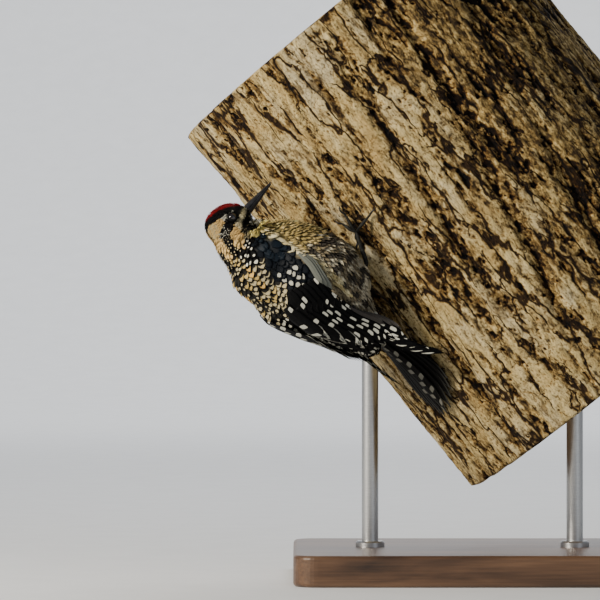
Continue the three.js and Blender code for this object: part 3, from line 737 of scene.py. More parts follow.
def mesh_arrays(mesh):
    points = np.empty(len(mesh.vertices) * 3)
    mesh.vertices.foreach_get("co", points)
    normals = np.empty(len(mesh.vertices) * 3)
    mesh.vertices.foreach_get("normal", normals)
    return points.reshape(-1, 3), normals.reshape(-1, 3)


def smoothed_points(mesh, points, rounds, share):
    """The points drawn some way towards the middle of their neighbours, again and again."""
    pairs = np.empty(len(mesh.edges) * 2, np.int64)
    mesh.edges.foreach_get("vertices", pairs)
    first, second = pairs.reshape(-1, 2).T
    count = np.bincount(pairs, minlength=len(points))[:, None]
    for _ in range(rounds):
        total = np.empty_like(points)
        for axis in range(3):
            total[:, axis] = np.bincount(first, points[second, axis], len(points))
            total[:, axis] += np.bincount(second, points[first, axis], len(points))
        points = points + share * (total / count - points)
    return points


def coat_depth(points):
    """How far the feathers stand over the skin, in millimetres."""
    at, turn = body_place(points)
    round_ = np.abs(turn)
    wing = smooth(at, 19, 24) * smooth(round_, 22, 30) * (1 - smooth(round_, 74, 80))
    depth = BODY_COAT + (WING_COAT - BODY_COAT) * wing
    depth = depth + 0.5 * smooth(round_, 95, 120)
    neck = 1 - smooth(at, 8, 26)
    return depth * (1 - neck) + (HEAD_COAT + 0.35 * smooth(at, 2, 14)) * neck


def grown_skin():
    form = solid_of(FLESH)
    for vert in form.verts:
        vert.co += vert.normal * SEAM_FILL
    rough = bpy.data.meshes.new("rough")
    form.to_mesh(rough)
    form.free()
    shell = bpy.data.objects.new("rough", rough)
    bpy.context.scene.collection.objects.link(shell)
    grid = shell.modifiers.new("grid", "REMESH")
    grid.mode = "VOXEL"
    grid.voxel_size = SKIN_GRID
    mesh = bpy.data.meshes.new_from_object(shell.evaluated_get(bpy.context.evaluated_depsgraph_get()))
    bpy.data.objects.remove(shell)
    bpy.data.meshes.remove(rough)
    points, _ = mesh_arrays(mesh)
    points = smoothed_points(mesh, points, 12, 0.5)
    mesh.vertices.foreach_set("co", points.ravel())
    mesh.update()
    points, normals = mesh_arrays(mesh)
    depth = coat_depth(to_bird(points))[:, None] * 0.001
    points = smoothed_points(mesh, points - normals * (depth + SEAM_FILL), 3, 0.4)
    mesh.vertices.foreach_set("co", points.ravel())
    mesh.update()
    mesh.name = "skin"
    return smoothed(mesh)


def colour_layer(mesh, name, values):
    layer = mesh.color_attributes.new(name, "FLOAT_COLOR", "POINT")
    full = np.ones((len(values), 4), np.float32)
    full[:, :values.shape[1]] = values
    layer.data.foreach_set("color", full.ravel())


def skin_finish():
    material, tree, shader = finish("down_covered_skin", 0.9)
    ground = node(tree, "Attribute", attribute_name="Ground").outputs["Color"]
    down = cloud(tree, position(tree), 4, 900)
    shade = ramp(tree, down, [(0.3, (0.35, 0.33, 0.3)), (0.7, (0.8, 0.78, 0.74))])
    tree.links.new(mixed(tree, 1.0, ground, shade, "MULTIPLY"), shader.inputs["Base Color"])
    bumped(tree, shader, down, 0.0004, 0.7)
    return material


random = np.random.default_rng(41)
skin_mesh = grown_skin()
skin_points, skin_normals = mesh_arrays(skin_mesh)
skin_paint = markings(to_bird(skin_points), random.random((len(skin_points), 3)))
colour_layer(skin_mesh, "Ground", smoothed_points(skin_mesh, skin_paint.ground, 2, 0.5))
add_piece("skin", skin_mesh, skin_finish(), FLESH)

# ---- Bird: coat ----------------------------------------------------------------------------------
# The small feathers of the whole body. Each is a thin curved vane rooted in the skin, and they lap
# over each other from the bill to the tail, smallest on the face, looser on the flanks and belly.

VANE_THICKNESS = 0.1
VANE_SINK = 0.35
SEARCH_CELL = 3.0
TRIES = 7

flesh = to_bird(skin_points)
flesh_normals = skin_normals @ BIRD_AXES.T
skin_faces = [tuple(face.vertices) for face in skin_mesh.polygons]
face_normals = np.array([flesh_normals[list(face)].mean(0) for face in skin_faces])
skin_tree = BVHTree.FromPolygons(flesh.tolist(), skin_faces)


def unit(vectors):
    return vectors / np.maximum(np.linalg.norm(vectors, axis=-1, keepdims=True), 1e-9)


def on_skin(points):
    """The nearest places on the skin, and the way out from it there."""
    found = [skin_tree.find_nearest(point) for point in points.reshape(-1, 3).tolist()]
    place = np.array([hit[0] for hit in found]).reshape(points.shape)
    normal = unit(face_normals[[hit[2] for hit in found]]).reshape(points.shape)
    return place, normal


def spacing(points):
    """How far apart the feathers are rooted, in millimetres."""
    at, turn = body_place(points)
    round_ = np.abs(turn)
    body = 2.25 - 0.3 * smooth(round_, 60, 90) + 0.7 * smooth(at, 16, 30) * (1 - smooth(round_, 66, 76))
    body = np.where(points[:, 2] < 14, np.minimum(body, 1.9), body)
    neck = 0.95 + 1.0 * smooth(at, 1, 19)
    head = on_head(points)
    face = 0.74 + 0.1 * smooth(-to_head(points)[:, 1], -6, 10)
    return np.where(head > 0.5, face, np.where(at < 20, np.minimum(neck, body), body))


def fluff(points):
    """How much further the tips stand out under the bill and along the top of the breast."""
    head = to_head(points)
    under = np.degrees(np.arctan2(np.abs(head[:, 0]), head[:, 2]))
    throat = (on_head(points) > 0.5) * smooth(under, 106, 128) * (1 - smooth(head[:, 1], 10, 13))
    at, turn = body_place(points)
    breast = (1 - smooth(at, 15, 22)) * smooth(np.abs(turn), 48, 66) * (on_head(points) <= 0.5)
    lap = smooth(at, 30, 38) * (1 - smooth(at, 66, 74)) * (1 - smooth(np.abs(np.abs(turn) - 77), 3, 6))
    return 2.4 * throat + 1.8 * breast + 1.0 * lap


def lie(points, normals):
    """The way the feathers' tips point, along the skin."""
    at = -points[:, 1]
    down = np.clip(1 - (at - 13.5) / 18, 0, 1) * (np.abs(body_place(points)[1]) > 55)
    body = unit(np.stack([0 * at, -np.ones_like(at), -1.5 * down], 1))
    head = to_head(points)
    away = unit(head - (0, BILL_ROOT, -2.0)) + (0, -0.5, 0)
    face = unit(away @ HEAD_AXES.T)
    share = (smooth(cheek_side(head), -7, 3) * (at < 20))[:, None]
    way = body * (1 - share) + face * share
    return unit(way - normals * (way * normals).sum(-1, keepdims=True))


def scattered():
    """Roots over all the skin, no two nearer each other than the spacing there."""
    skin_mesh.calc_loop_triangles()
    triangles = np.empty(len(skin_mesh.loop_triangles) * 3, np.int64)
    skin_mesh.loop_triangles.foreach_get("vertices", triangles)
    corners = flesh[triangles.reshape(-1, 3)]
    edges = corners[:, 1:] - corners[:, :1]
    area = np.linalg.norm(np.cross(edges[:, 0], edges[:, 1]), axis=1) / 2
    weight = area / spacing(corners.mean(1)) ** 2
    picked = random.choice(len(corners), int(TRIES * weight.sum()), p=weight / weight.sum())
    a, b = random.random((2, len(picked), 1))
    over = a + b > 1
    a, b = np.where(over, 1 - a, a), np.where(over, 1 - b, b)
    spots = corners[picked, 0] * (1 - a - b) + corners[picked, 1] * a + corners[picked, 2] * b
    kept = []
    cells = {}
    for spot, gap in zip(spots.tolist(), (spacing(spots) ** 2 * 0.75).tolist()):
        x, y, z = spot
        i, j, k = int(x // SEARCH_CELL), int(y // SEARCH_CELL), int(z // SEARCH_CELL)
        near = (
            other
            for di in (-1, 0, 1) for dj in (-1, 0, 1) for dk in (-1, 0, 1)
            for other in cells.get((i + di, j + dj, k + dk), ())
        )
        if all((x - p) ** 2 + (y - q) ** 2 + (z - r) ** 2 > gap for p, q, r in near):
            cells.setdefault((i, j, k), []).append(spot)
            kept.append(spot)
    return np.array(kept)


def sheet_faces(rows, columns):
    """Faces of a closed thin sheet: its top, then its underside, which shares the top's rim."""
    top = np.arange(rows * columns).reshape(rows, columns)
    under = top.copy()
    under[1:-1, 1:-1] = rows * columns + np.arange((rows - 2) * (columns - 2)).reshape(rows - 2, -1)
    quads = []
    for grid, way in ((top, 1), (under, -1)):
        quad = np.stack([grid[:-1, :-1], grid[:-1, 1:], grid[1:, 1:], grid[1:, :-1]], -1)
        quads.append(quad.reshape(-1, 4)[:, ::way])
    return np.concatenate(quads)


def sheets_mesh(name, tops, unders, vane, bake, layers):
    """One mesh of many closed sheets, from their points in the bird's frame. vane is where each
    point is across and along its feather, bake is its place on the unwrapped skin."""
    count, rows, columns = tops.shape[:3]
    each = rows * columns + (rows - 2) * (columns - 2)

    def with_under(values):
        outer = values.reshape(count, rows * columns, -1)
        inner = values[:, 1:-1, 1:-1].reshape(count, -1, values.shape[-1])
        return np.concatenate([outer, inner], 1).reshape(count * each, -1)

    points = np.concatenate([tops.reshape(count, -1, 3), unders[:, 1:-1, 1:-1].reshape(count, -1, 3)], 1)
    faces = sheet_faces(rows, columns)
    corners = (faces[None] + (np.arange(count) * each)[:, None, None]).reshape(-1)
    mesh = bpy.data.meshes.new(name)
    mesh.vertices.add(count * each)
    mesh.vertices.foreach_set("co", to_world(points.reshape(-1, 3)).ravel())
    mesh.loops.add(len(corners))
    mesh.loops.foreach_set("vertex_index", corners)
    mesh.polygons.add(len(corners) // 4)
    mesh.polygons.foreach_set("loop_start", np.arange(0, len(corners), 4))
    mesh.update(calc_edges=True)
    for layer, values in (("Vane", vane), ("OFBake", bake)):
        mesh.uv_layers.new(name=layer).data.foreach_set("uv", with_under(values)[corners].ravel())
    for layer, values in layers.items():
        colour_layer(mesh, layer, np.repeat(values, each, axis=0))
    return smoothed(mesh)


def laid_vanes(roots, ways, lengths, widths, lifts, shape):
    """The top and underside of vanes that lie along the skin, tips up by their lifts."""
    rows, columns = shape["rows"], shape["columns"]
    along = np.linspace(0, 1, rows)
    across = np.linspace(-1, 1, columns)
    count = len(roots)
    step = (lengths / (rows - 1))[:, None]
    place = roots - ways * step
    middles, outs, leads = [], [], []
    for _ in range(rows):
        place, normal = on_skin(place + ways * step)
        ways = unit(ways - normal * (ways * normal).sum(-1, keepdims=True))
        middles.append(place)
        outs.append(normal)
        leads.append(ways)
    middle, out, lead = (np.stack(values, 1) for values in (middles, outs, leads))
    side = np.cross(lead, out)
    taper = shape["root"] + (1 - shape["root"]) * smooth(along, 0, 0.4)
    tip = np.clip((along - shape["shoulder"]) / (1 - shape["shoulder"]), 0, 1)
    taper = taper * (1 - tip ** shape["blunt"]) ** 0.6
    half = widths[:, None] / 2 * np.maximum(taper, 0.1)
    ragged = 1 - shape["rag"] * random.random((count, 1, columns)) * np.abs(across) ** 0.5
    drift = (ragged - 1) * along[None, :, None] * lengths[:, None, None]
    spread = middle[:, :, None] + side[:, :, None] * (half[:, :, None] * across)[..., None]
    spread = spread + lead[:, :, None] * drift[..., None]
    if columns > 3:
        spread, out = on_skin(spread)
    else:
        out = np.repeat(out[:, :, None], columns, 2)
    rise = -VANE_SINK + (lifts[:, None] + VANE_SINK) * along ** 0.85
    camber = shape["camber"] * half[:, :, None] * across ** 2
    top = spread + out * (rise[:, :, None] - camber)[..., None]
    thick = VANE_THICKNESS * (1 - across ** 2) * (1 - 0.6 * along[:, None])
    return top, top - out * thick[None, :, :, None]


SCALE = dict(rows=7, columns=5, root=0.55, shoulder=0.5, blunt=2.6, rag=0.1, camber=0.14)
CONTOUR = dict(rows=7, columns=5, root=0.5, shoulder=0.55, blunt=2.2, rag=0.12, camber=0.22)
SLEEK = dict(rows=7, columns=5, root=0.6, shoulder=0.5, blunt=2.0, rag=0.08, camber=0.05)
LOOSE = dict(rows=7, columns=5, root=0.4, shoulder=0.35, blunt=1.5, rag=0.34, camber=0.1)
SILKY = dict(rows=5, columns=3, root=0.55, shoulder=0.4, blunt=1.4, rag=0.2, camber=0.2)
SWING = 0.3
# The part of the unwrapped skin that one feather takes up.
PATCH = 0.003


def unwrapped(points, by_head):
    """Where points are on the skin laid out flat, both ways from 0 to 1."""
    if by_head:
        head = to_head(points)
        flat = np.stack([np.arctan2(head[:, 0], head[:, 2]) / 7 + 0.5, (head[:, 1] + 16) / 36], 1)
    else:
        at, turn = body_place(points)
        flat = np.stack([turn / 380 + 0.5, (at + 6) / 140], 1)
    return np.clip(flat, 0.01, 0.99)


def coat_piece(name, slot, material, roots, shape, length, width, lift):
    """One piece of coat over some of the roots. Length and width are shares of the spacing, and lift
    is a share of the coat's depth."""
    place, normals = on_skin(roots)
    gaps = spacing(roots)
    chance = random.random((len(roots), 3))
    ways = lie(place, normals)
    turned = np.cross(normals, ways)
    swing = (random.random((len(roots), 1)) - 0.5) * SWING
    ways = unit(ways + turned * swing)
    extra = fluff(place)
    lengths = gaps * length * (0.85 + 0.3 * chance[:, 0]) + 1.2 * extra
    widths = gaps * width * (0.88 + 0.24 * chance[:, 1])
    lifts = coat_depth(place) * lift * (0.85 + 0.3 * chance[:, 2]) + extra * (0.5 + 0.7 * chance[:, 1])
    tops, unders = laid_vanes(place, ways, lengths, widths, lifts, shape)
    rows, columns = tops.shape[1:3]
    paint = markings(place + ways * lengths[:, None] * 0.75, random.random((len(roots), 3)))
    tone = 0.86 + 0.28 * random.random((len(roots), 1))
    u, v = np.meshgrid(np.linspace(0, 1, columns), np.linspace(0, 1, rows))
    vane = np.broadcast_to(np.stack([u, v], -1), (len(roots), rows, columns, 2))
    bake = unwrapped(place, slot == "head_plumage")[:, None, None] + (vane - 0.5) * PATCH
    mesh = sheets_mesh(name, tops, unders, vane, bake, {
        "Ground": paint.ground * tone, "Mark": paint.mark * tone,
        "Pattern": np.hstack([paint.shape, chance[:, :1]]),
    })
    add_piece(name, mesh, material)


def between(value, low, high):
    """0 below low, 1 above high, smooth in between."""
    made = node(value.socket.id_data, "MapRange", {
        "Value": value, "From Min": low, "From Max": high,
    }, interpolation_type="SMOOTHSTEP")
    return Amount(made.outputs["Result"])


def vector(tree, x, y, z):
    return node(tree, "CombineXYZ", {"X": x, "Y": y, "Z": z}).outputs["Vector"]


def vane_place(tree):
    """How far a point is across its feather and along it, both from 0 to 1."""
    place = node(tree, "UVMap", uv_map="Vane").outputs["UV"]
    split = node(tree, "SeparateXYZ", {"Vector": place})
    return Amount(split.outputs["X"]), Amount(split.outputs["Y"])


def feather_colours(tree):
    return [node(tree, "Attribute", attribute_name=name).outputs["Color"] for name in ("Ground", "Mark")]


def pattern_amounts(tree):
    """The three strengths of a feather's markings, and the chance that makes it differ."""
    pattern = node(tree, "Attribute", attribute_name="Pattern")
    part = node(tree, "SeparateColor", {"Color": pattern.outputs["Color"]})
    strengths = [Amount(part.outputs[name]) for name in ("Red", "Green", "Blue")]
    return strengths + [Amount(pattern.outputs["Alpha"])]


def barbs(tree, across, along, chance, fine=1.0):
    """Fine slanting streaks on both sides of a feather's shaft, from 0 to 1."""
    slant = abs(across - 0.5) * -1.1 + along
    return cloud(tree, vector(tree, slant * (34 * fine), across * 3.0, chance * 60.0), 3)


def plumage(name, roughness, shine):
    """Small feathers: a round spot, a chevron or a rim near the tip, and a darker root, partly its duller
    base and partly painted shade under the feathers that lie over it.
    """
    material, tree, shader = finish(name, roughness, Specular_IOR_Level=shine)
    ground, mark = feather_colours(tree)
    spot_size, chevron_strength, rim_strength, chance = pattern_amounts(tree)
    across, along = vane_place(tree)
    off = abs(across * 2.0 - 1.0)
    ragged = cloud(tree, vector(tree, across * 2.5, along * 6.0, chance * 70.0), 2) - 0.5
    size = maths("MAXIMUM", spot_size, 0.01)
    wide = (off / 0.62 / size) ** 2.0
    long = ((along - 0.74) / 0.17 / size) ** 2.0
    spot = 1.0 - between(ragged * 1.6 + (wide + long), 0.75, 1.15)
    near = abs(off ** 2.0 * 0.3 + along - 0.84)
    near = ragged * 0.08 + (size * -0.085 + near)
    chevron = 1.0 - between(near, 0.04, 0.09)
    rim = between(off ** 3.0 * 0.45 + along, 0.82, 0.9)
    amount = maths("MAXIMUM", spot, chevron * chevron_strength)
    amount = maths("MAXIMUM", amount, rim * rim_strength)
    colour = mixed(tree, amount, ground, mark)
    streak = barbs(tree, across, along, chance)
    tint = ramp(tree, streak, [(0.25, (0.62, 0.6, 0.58)), (0.75, (1.3, 1.3, 1.3))])
    colour = mixed(tree, 0.8, colour, tint, "MULTIPLY")
    # painted shade: the root is darkened, partly as the feather's duller base and partly as shade under
    # the feathers lying over it
    root = ramp(tree, along, [(0.15, (0.35, 0.33, 0.32)), (0.55, (1, 1, 1))])
    tree.links.new(mixed(tree, 1.0, colour, root, "MULTIPLY"), shader.inputs["Base Color"])
    bumped(tree, shader, streak, 0.00018, 0.6)
    return material


roots = scattered()
root_at, root_turn = body_place(roots)
root_round = np.abs(root_turn)
root_head = on_head(roots) > 0.5
root_body = ~root_head & (root_at >= 20)
root_wing = (root_at > 20) & (root_round > 40) & (root_round < 72) & (root_at < 90)
root_low = root_body & (root_round > 72)
root_flank = root_low & (root_at >= 46)
soft_feather = plumage("soft_body_feathers", 0.78, 0.12)
glossy_feather = plumage("glossy_wing_coverts", 0.5, 0.14)

# Each piece of the coat: slot, material, roots, shape, length, width and lift.
COAT = {
    "face": ("head_plumage", soft_feather, root_head, SILKY, 3.0, 1.25, 1.0),
    "neck": ("body_plumage", soft_feather, ~root_head & (root_at < 20), CONTOUR, 2.7, 1.5, 1.0),
    "mantle": ("body_plumage", soft_feather, root_body & ~root_wing & ~root_low, SCALE, 2.5, 1.9, 0.85),
    "wing": ("wing_coverts", glossy_feather, root_body & root_wing, SLEEK, 3.3, 2.0, 0.7),
    "breast": ("body_plumage", soft_feather, root_low & (root_at < 46), CONTOUR, 2.8, 1.5, 1.0),
    "flank_right": ("body_plumage", soft_feather, root_flank & (root_turn > 0), LOOSE, 3.0, 1.5, 1.05),
    "flank_left": ("body_plumage", soft_feather, root_flank & (root_turn <= 0), LOOSE, 3.0, 1.5, 1.05),
}
for name, (slot, material, where, *sizes) in COAT.items():
    coat_piece("coat_" + name, slot, material, roots[where], *sizes)

# ---- Bird: wing feathers -------------------------------------------------------------------------
# The long feathers of both folded wings: black blades with a raised shaft and white spots on both
# webs. The tertials lie on top, the secondaries fan out under them, and the primaries end the wing.

WING_THICKNESS = 2.4
GAP = 0.3
BODY_RADIUS = 32.8
BREAST_AT = 13.5
VENT_AT = 127.0
BACK_FLATNESS = 0.9
upper_turn = follow([(17, 46), (24, 36), (34, 27), (48, 20), (62, 14), (80, 8), (100, 4)])
lower_turn = follow([(17, 60), (24, 73), (34, 76), (48, 79), (62, 75), (80, 76), (100, 84)])
upper_x = follow([(78, 5), (92, 2.6), (104, 1.6), (116, 3), (127, 14), (137, 25.5)])
upper_z = follow([(78, 52), (92, 46.4), (104, 40.6), (116, 32), (127, 19.6), (137, 6.6)])
lower_x = follow([(78, 26.6), (92, 22.6), (103, 20.8), (115, 22.6), (127, 26), (137, 27.4)])
lower_z = follow([(78, 34.4), (92, 25.8), (103, 18.6), (115, 13.5), (127, 8.4), (137, 5.6)])
wing_bow = follow([(78, 4), (103, 2.6), (127, 1.4), (137, 0.2)])


def body_radius(at):
    ahead = np.clip((FULLEST_AT - at) / (FULLEST_AT - BREAST_AT), 0, 1)
    behind = np.clip((at - FULLEST_AT) / (VENT_AT - FULLEST_AT), 0, 1)
    return BODY_RADIUS * (1 - ahead ** 2) ** 0.6 * (1 - behind ** 1.2) ** 1.15


def wing_span(at):
    """The wing's width at a station, in millimetres."""
    on_back = np.radians(lower_turn(at) - upper_turn(at)) * (body_radius(at) + 1.5)
    behind = np.hypot(lower_x(at) - upper_x(at), lower_z(at) - upper_z(at))
    over = smooth(at, 80, 100)
    return on_back * (1 - over) + behind * over


def wing_point(at, across, lift, side):
    """A point of the folded wing: across is 0 on its upper edge along the back, 1 on its lower."""
    turn = np.radians(upper_turn(at) + (lower_turn(at) - upper_turn(at)) * across)
    radius = body_radius(at)
    high = radius * np.where(np.cos(turn) > 0, BACK_FLATNESS, 1)
    off = WING_THICKNESS / 2 + GAP + lift
    back_x = (radius + off) * np.sin(turn)
    back_z = body_height(at) + (high + off) * np.cos(turn)
    down_x, down_z = lower_x(at) - upper_x(at), lower_z(at) - upper_z(at)
    length = np.hypot(down_x, down_z)
    raised = wing_bow(at) * 4 * across * (1 - across) + lift
    behind_x = upper_x(at) + down_x * across - down_z / length * raised
    behind_z = upper_z(at) + down_z * across + down_x / length * raised
    over = smooth(at, 80, 100)
    far = 3 * np.clip((at - 98) / 39, 0, 1) if side < 0 else 0
    x = side * (back_x * (1 - over) + behind_x * over)
    return np.stack([x, -at + 0 * x, back_z * (1 - over) + behind_z * over + far], -1)


BLADE_ROWS = 26
BLADE_ACROSS = np.array([-1, -0.72, -0.4, -0.09, 0, 0.09, 0.4, 0.72, 1])
SHAFT_RISE = 0.12
DROOP = 0.12
TILT = 0.3
BLADE_THICKNESS = 0.3


def blade_width(along, shoulder, blunt):
    """The half width of a long feather, as a share of its fullest, from its root to its tip."""
    tip = np.clip((along - shoulder) / (1 - shoulder), 0, 1)
    return (0.55 + 0.45 * smooth(along, 0, 0.3)) * np.maximum(1 - tip ** blunt, 0.02) ** 0.55


def wing_blades(rows, side):
    """Sheets for a group of long feathers: first and last station, where across the wing each starts
    and ends, half width, lift at the root and the tip. Each one's lower edge laps over the next."""
    tilt = TILT if rows[0][3] > rows[-1][3] else 0
    tops, unders = [], []
    along = np.linspace(0, 1, BLADE_ROWS)[:, None]
    across = (BLADE_ACROSS * side)[None]
    for first, last, start, end, half, low, high in rows:
        at = first + (last - first) * along
        centre = start + (end - start) * smooth(along, 0, 1)
        width = half * blade_width(along, 0.72, 2.3)
        place = centre + across * width / np.maximum(wing_span(at), 6)
        ridge = SHAFT_RISE * np.exp(-(across / 0.1) ** 2) * (1 - 0.7 * along)
        lift = low + (high - low) * along + ridge - DROOP * across ** 2 + tilt * across
        rounded = at - 0.9 * half * np.abs(across) ** 2.5 * smooth(along, 0.55, 1)
        thick = BLADE_THICKNESS * (1 - across ** 2) * (1 - 0.5 * along)
        tops.append(wing_point(rounded, place, lift, side))
        unders.append(wing_point(rounded, place, lift - thick, side))
    return np.stack(tops), np.stack(unders)


def blades_piece(name, material, tops, unders, sizes, paint, replaced=()):
    """A group of long feathers. sizes holds each one's length and half width, and paint their
    ground and mark colours, the share of spots, how strong the pale edge is and the share of
    broad blots."""
    count, rows, columns = tops.shape[:3]
    u, v = np.meshgrid(np.linspace(0, 1, columns), np.linspace(0, 1, rows))
    vane = np.broadcast_to(np.stack([u, v], -1), (count, rows, columns, 2))
    place = np.arange(count)[:, None, None]
    strip = np.stack([(place + 0.04 + 0.92 * u) / count, 0 * place + 0.01 + 0.98 * v], -1)
    ground, mark, shape = (np.array(value, float) for value in paint)
    chance = random.random((count, 1))
    mesh = sheets_mesh(name, tops, unders, vane, strip, {
        "Ground": np.broadcast_to(ground, (count, 3)) * (0.9 + 0.2 * chance),
        "Mark": np.broadcast_to(mark, (count, 3)) * (0.92 + 0.12 * chance),
        "Pattern": np.hstack([np.broadcast_to(shape, (count, 3)), chance]),
        "Size": np.hstack([np.array(sizes, float) * 0.01, np.zeros((count, 1))]),
    })
    add_piece(name, mesh, material, replaced)


SPOT_STEP = 6.8
BLOT_STEP = 8.5


def flight_vanes(name, roughness):
    """Smooth black vanes: rows of long white spots on both webs, broad blots, or a pale edge."""
    material, tree, shader = finish(name, roughness, Specular_IOR_Level=0.06)
    ground, mark = feather_colours(tree)
    spot_share, edge_strength, blot_share, chance = pattern_amounts(tree)
    size = node(tree, "Attribute", attribute_name="Size").outputs["Color"]
    length = Amount(node(tree, "SeparateColor", {"Color": size}).outputs["Red"])
    across, along = vane_place(tree)
    off = abs(across * 2.0 - 1.0)
    reach = off * 1.4 + along * length * 100.0
    web = maths("GREATER_THAN", across, 0.5)
    ragged = cloud(tree, vector(tree, across * 3.0, reach * 0.45, chance * 70.0), 2) - 0.5

    def blots(step, long, wide, middle, share):
        """Rows of blots along both webs, of which only a share is there."""
        turns = reach * (1 / step) + (web * 0.43 + chance)
        number = vector(tree, maths("FLOOR", turns), web, maths("ROUND", chance * 97.3))
        dice = node(tree, "TexWhiteNoise", {"Vector": number}, noise_dimensions="3D").outputs["Value"]
        ahead = abs((maths("FRACT", turns) - 0.5) / long) ** 3.4
        beside = abs((off - middle) / wide) ** 3.4
        inside = 1.0 - between(ragged + (ahead + beside), 0.75, 1.15)
        return inside * maths("LESS_THAN", Amount(dice), share)

    spots = blots(SPOT_STEP, 0.28, 0.23, 0.56, spot_share) * maths("LESS_THAN", along, 0.92)
    edge = between(off ** 4.0 * 0.3 + along, 0.93, 0.97)
    amount = maths("MAXIMUM", spots, edge * edge_strength)
    amount = maths("MAXIMUM", amount, blots(BLOT_STEP, 0.17, 0.38, 0.5, blot_share))
    colour = mixed(tree, amount, ground, mark)
    streak = barbs(tree, across, along, chance, 3.0)
    tint = ramp(tree, streak, [(0.25, (0.7, 0.69, 0.68)), (0.75, (1.25, 1.25, 1.25))])
    colour = mixed(tree, 0.8, colour, tint, "MULTIPLY")
    shaft = (1.0 - between(off, 0.03, 0.08)) * 0.8
    tree.links.new(mixed(tree, shaft, colour, (0.006, 0.005, 0.0045)), shader.inputs["Base Color"])
    bumped(tree, shader, streak, 0.00014, 0.5)
    return material


def spread(count, *ends):
    """count rows that go evenly from the first of each pair of values to the last."""
    share = np.linspace(0, 1, count)
    return [tuple(a + (b - a) * s for a, b in ends) for s in share]


# Each group: how many feathers, then the first one's and the last one's root station, tip station,
# place across at the root and at the tip, half width, and lift at the root and at the tip.
WING_GROUPS = {
    "primaries": (
        7, (84, 80), (137, 117), (0.96, 0.78), (0.52, 0.86), (3.4, 3.9), (-1.0, -0.5), (-0.25, 0.35),
    ),
    "secondaries": (
        8, (74, 66), (116, 106), (0.9, 0.3), (0.8, 0.22), (3.9, 4.5), (-0.3, 0.4), (-0.1, 0.75),
    ),
    "tertials": (
        3, (68, 60), (106, 90), (0.34, 0.1), (0.28, 0.1), (5.2, 5.4), (0.7, 1.0), (0.8, 1.25),
    ),
    "greater_coverts": (
        7, (58, 54), (80, 71), (0.84, 0.3), (0.84, 0.3), (3.6, 4.2), (0.7, 0.9), (0.7, 1.1),
    ),
    "pale_coverts": (
        3, (44, 41), (69, 63), (0.94, 0.86), (0.92, 0.84), (1.6, 1.8), (0.5, 0.8), (1.4, 1.7),
    ),
    "primary_coverts": (
        3, (86, 82), (111, 103), (1.0, 0.95), (0.98, 0.91), (2.1, 2.4), (-0.6, -0.2), (-0.3, 0.3),
    ),
}
# The colours under and in the markings, then the share of spots, the pale edge and the share of blots.
WING_PAINT = {
    "primaries": (BLACK, WHITE, (0.74, 0.0, 0.0)),
    "secondaries": (BLACK, WHITE, (0.66, 0.0, 0.0)),
    "tertials": (BLACK, WHITE, (0.0, 0.7, 0.62)),
    "greater_coverts": (BLACK, WHITE, (0.2, 0.0, 0.0)),
    "pale_coverts": ((0.118, 0.125, 0.106), (0.07, 0.07, 0.06), (0.0, 0.2, 0.0)),
    "primary_coverts": ((0.045, 0.04, 0.036), (0.16, 0.15, 0.13), (0.0, 0.5, 0.0)),
}
SIDES = {"right": 1, "left": -1}
flight_finish = flight_vanes("flight_feather_vanes", 0.6)
for side_name, side in SIDES.items():
    for group, (count, *ends) in WING_GROUPS.items():
        rows = spread(count, *ends)
        tops, unders = wing_blades(rows, side)
        sizes = [(row[1] - row[0], row[4]) for row in rows]
        slot = "wing_coverts" if "coverts" in group else "flight_feathers"
        replaced = [f"wing_{side_name}_{group}"] if group in ("primaries", "secondaries") else []
        blades_piece(
            f"wing_{side_name}_{group}_feathers", flight_finish, tops, unders, sizes,
            WING_PAINT[group], replaced,
        )

# ---- Bird: tail feathers -------------------------------------------------------------------------
# Ten stiff, pointed feathers that prop the bird on the bark. The middle pair has pale grey blots on
# its webs, the others are black with a thin pale edge.

BODY_END = 112.0
TAIL_LENGTH = 54.0
TAIL_FAN = math.radians(3.6)
TAIL_ROOT_HEIGHT = 15.0
TAIL_TIP_HEIGHT = 4.4
TAIL_ROOT_SPREAD = 1.5
TAIL_LAYER = 0.66
TAIL_HALF_WIDTH = 4.7
TAIL_OUTER_HALF_WIDTH = 3.6
TAIL_BLACK = (0.003, 0.0028, 0.0026)
TAIL_GREY = (0.15, 0.146, 0.12)


def tail_layer(side, rank):
    """How many feathers lie over this one: the middle ones lap each other by turns."""
    return 2 * rank - (side > 0) if rank < 3 else rank + 2


def tail_point(side, rank, along, across, lift):
    reach = TAIL_LENGTH - 2.2 * (rank - 1) ** 1.45
    station = BODY_END + GAP + reach * along
    outwards = side * (rank - 0.5)
    centre = body_sway(station) + TAIL_ROOT_SPREAD * outwards
    centre = centre + math.tan(TAIL_FAN * outwards) * reach * along
    drop = np.clip(1 - along * reach / TAIL_LENGTH, 0, 2) ** 1.9
    height = TAIL_TIP_HEIGHT + (TAIL_ROOT_HEIGHT - TAIL_TIP_HEIGHT) * drop
    height = height - TAIL_LAYER * (tail_layer(side, rank) - 3)
    return np.stack([centre + across, -station + 0 * across, height + lift + 0 * across], -1)


def tail_blade(side, rank):
    along = np.linspace(-0.12, 1, BLADE_ROWS + 6)[:, None]
    across = BLADE_ACROSS[None]
    half = TAIL_OUTER_HALF_WIDTH if rank > 4 else TAIL_HALF_WIDTH
    tip = np.clip((along - 0.6) / 0.4, 0, 1)
    width = half * (0.62 + 0.38 * np.clip(along * 2.4, 0, 1)) * (1 - tip ** 1.7) + 0.25
    ridge = 0.28 * np.exp(-(across / 0.12) ** 2) * (1 - 0.6 * np.clip(along, 0, 1))
    lift = 0.16 + ridge - 0.3 * across ** 2
    thick = 0.4 * (1 - across ** 2)
    worn = along - 0.012 * np.abs(across) * smooth(along, 0.6, 0.9)
    top = tail_point(side, rank, worn, width * across, lift)
    return top[None], tail_point(side, rank, worn, width * across, lift - thick)[None]


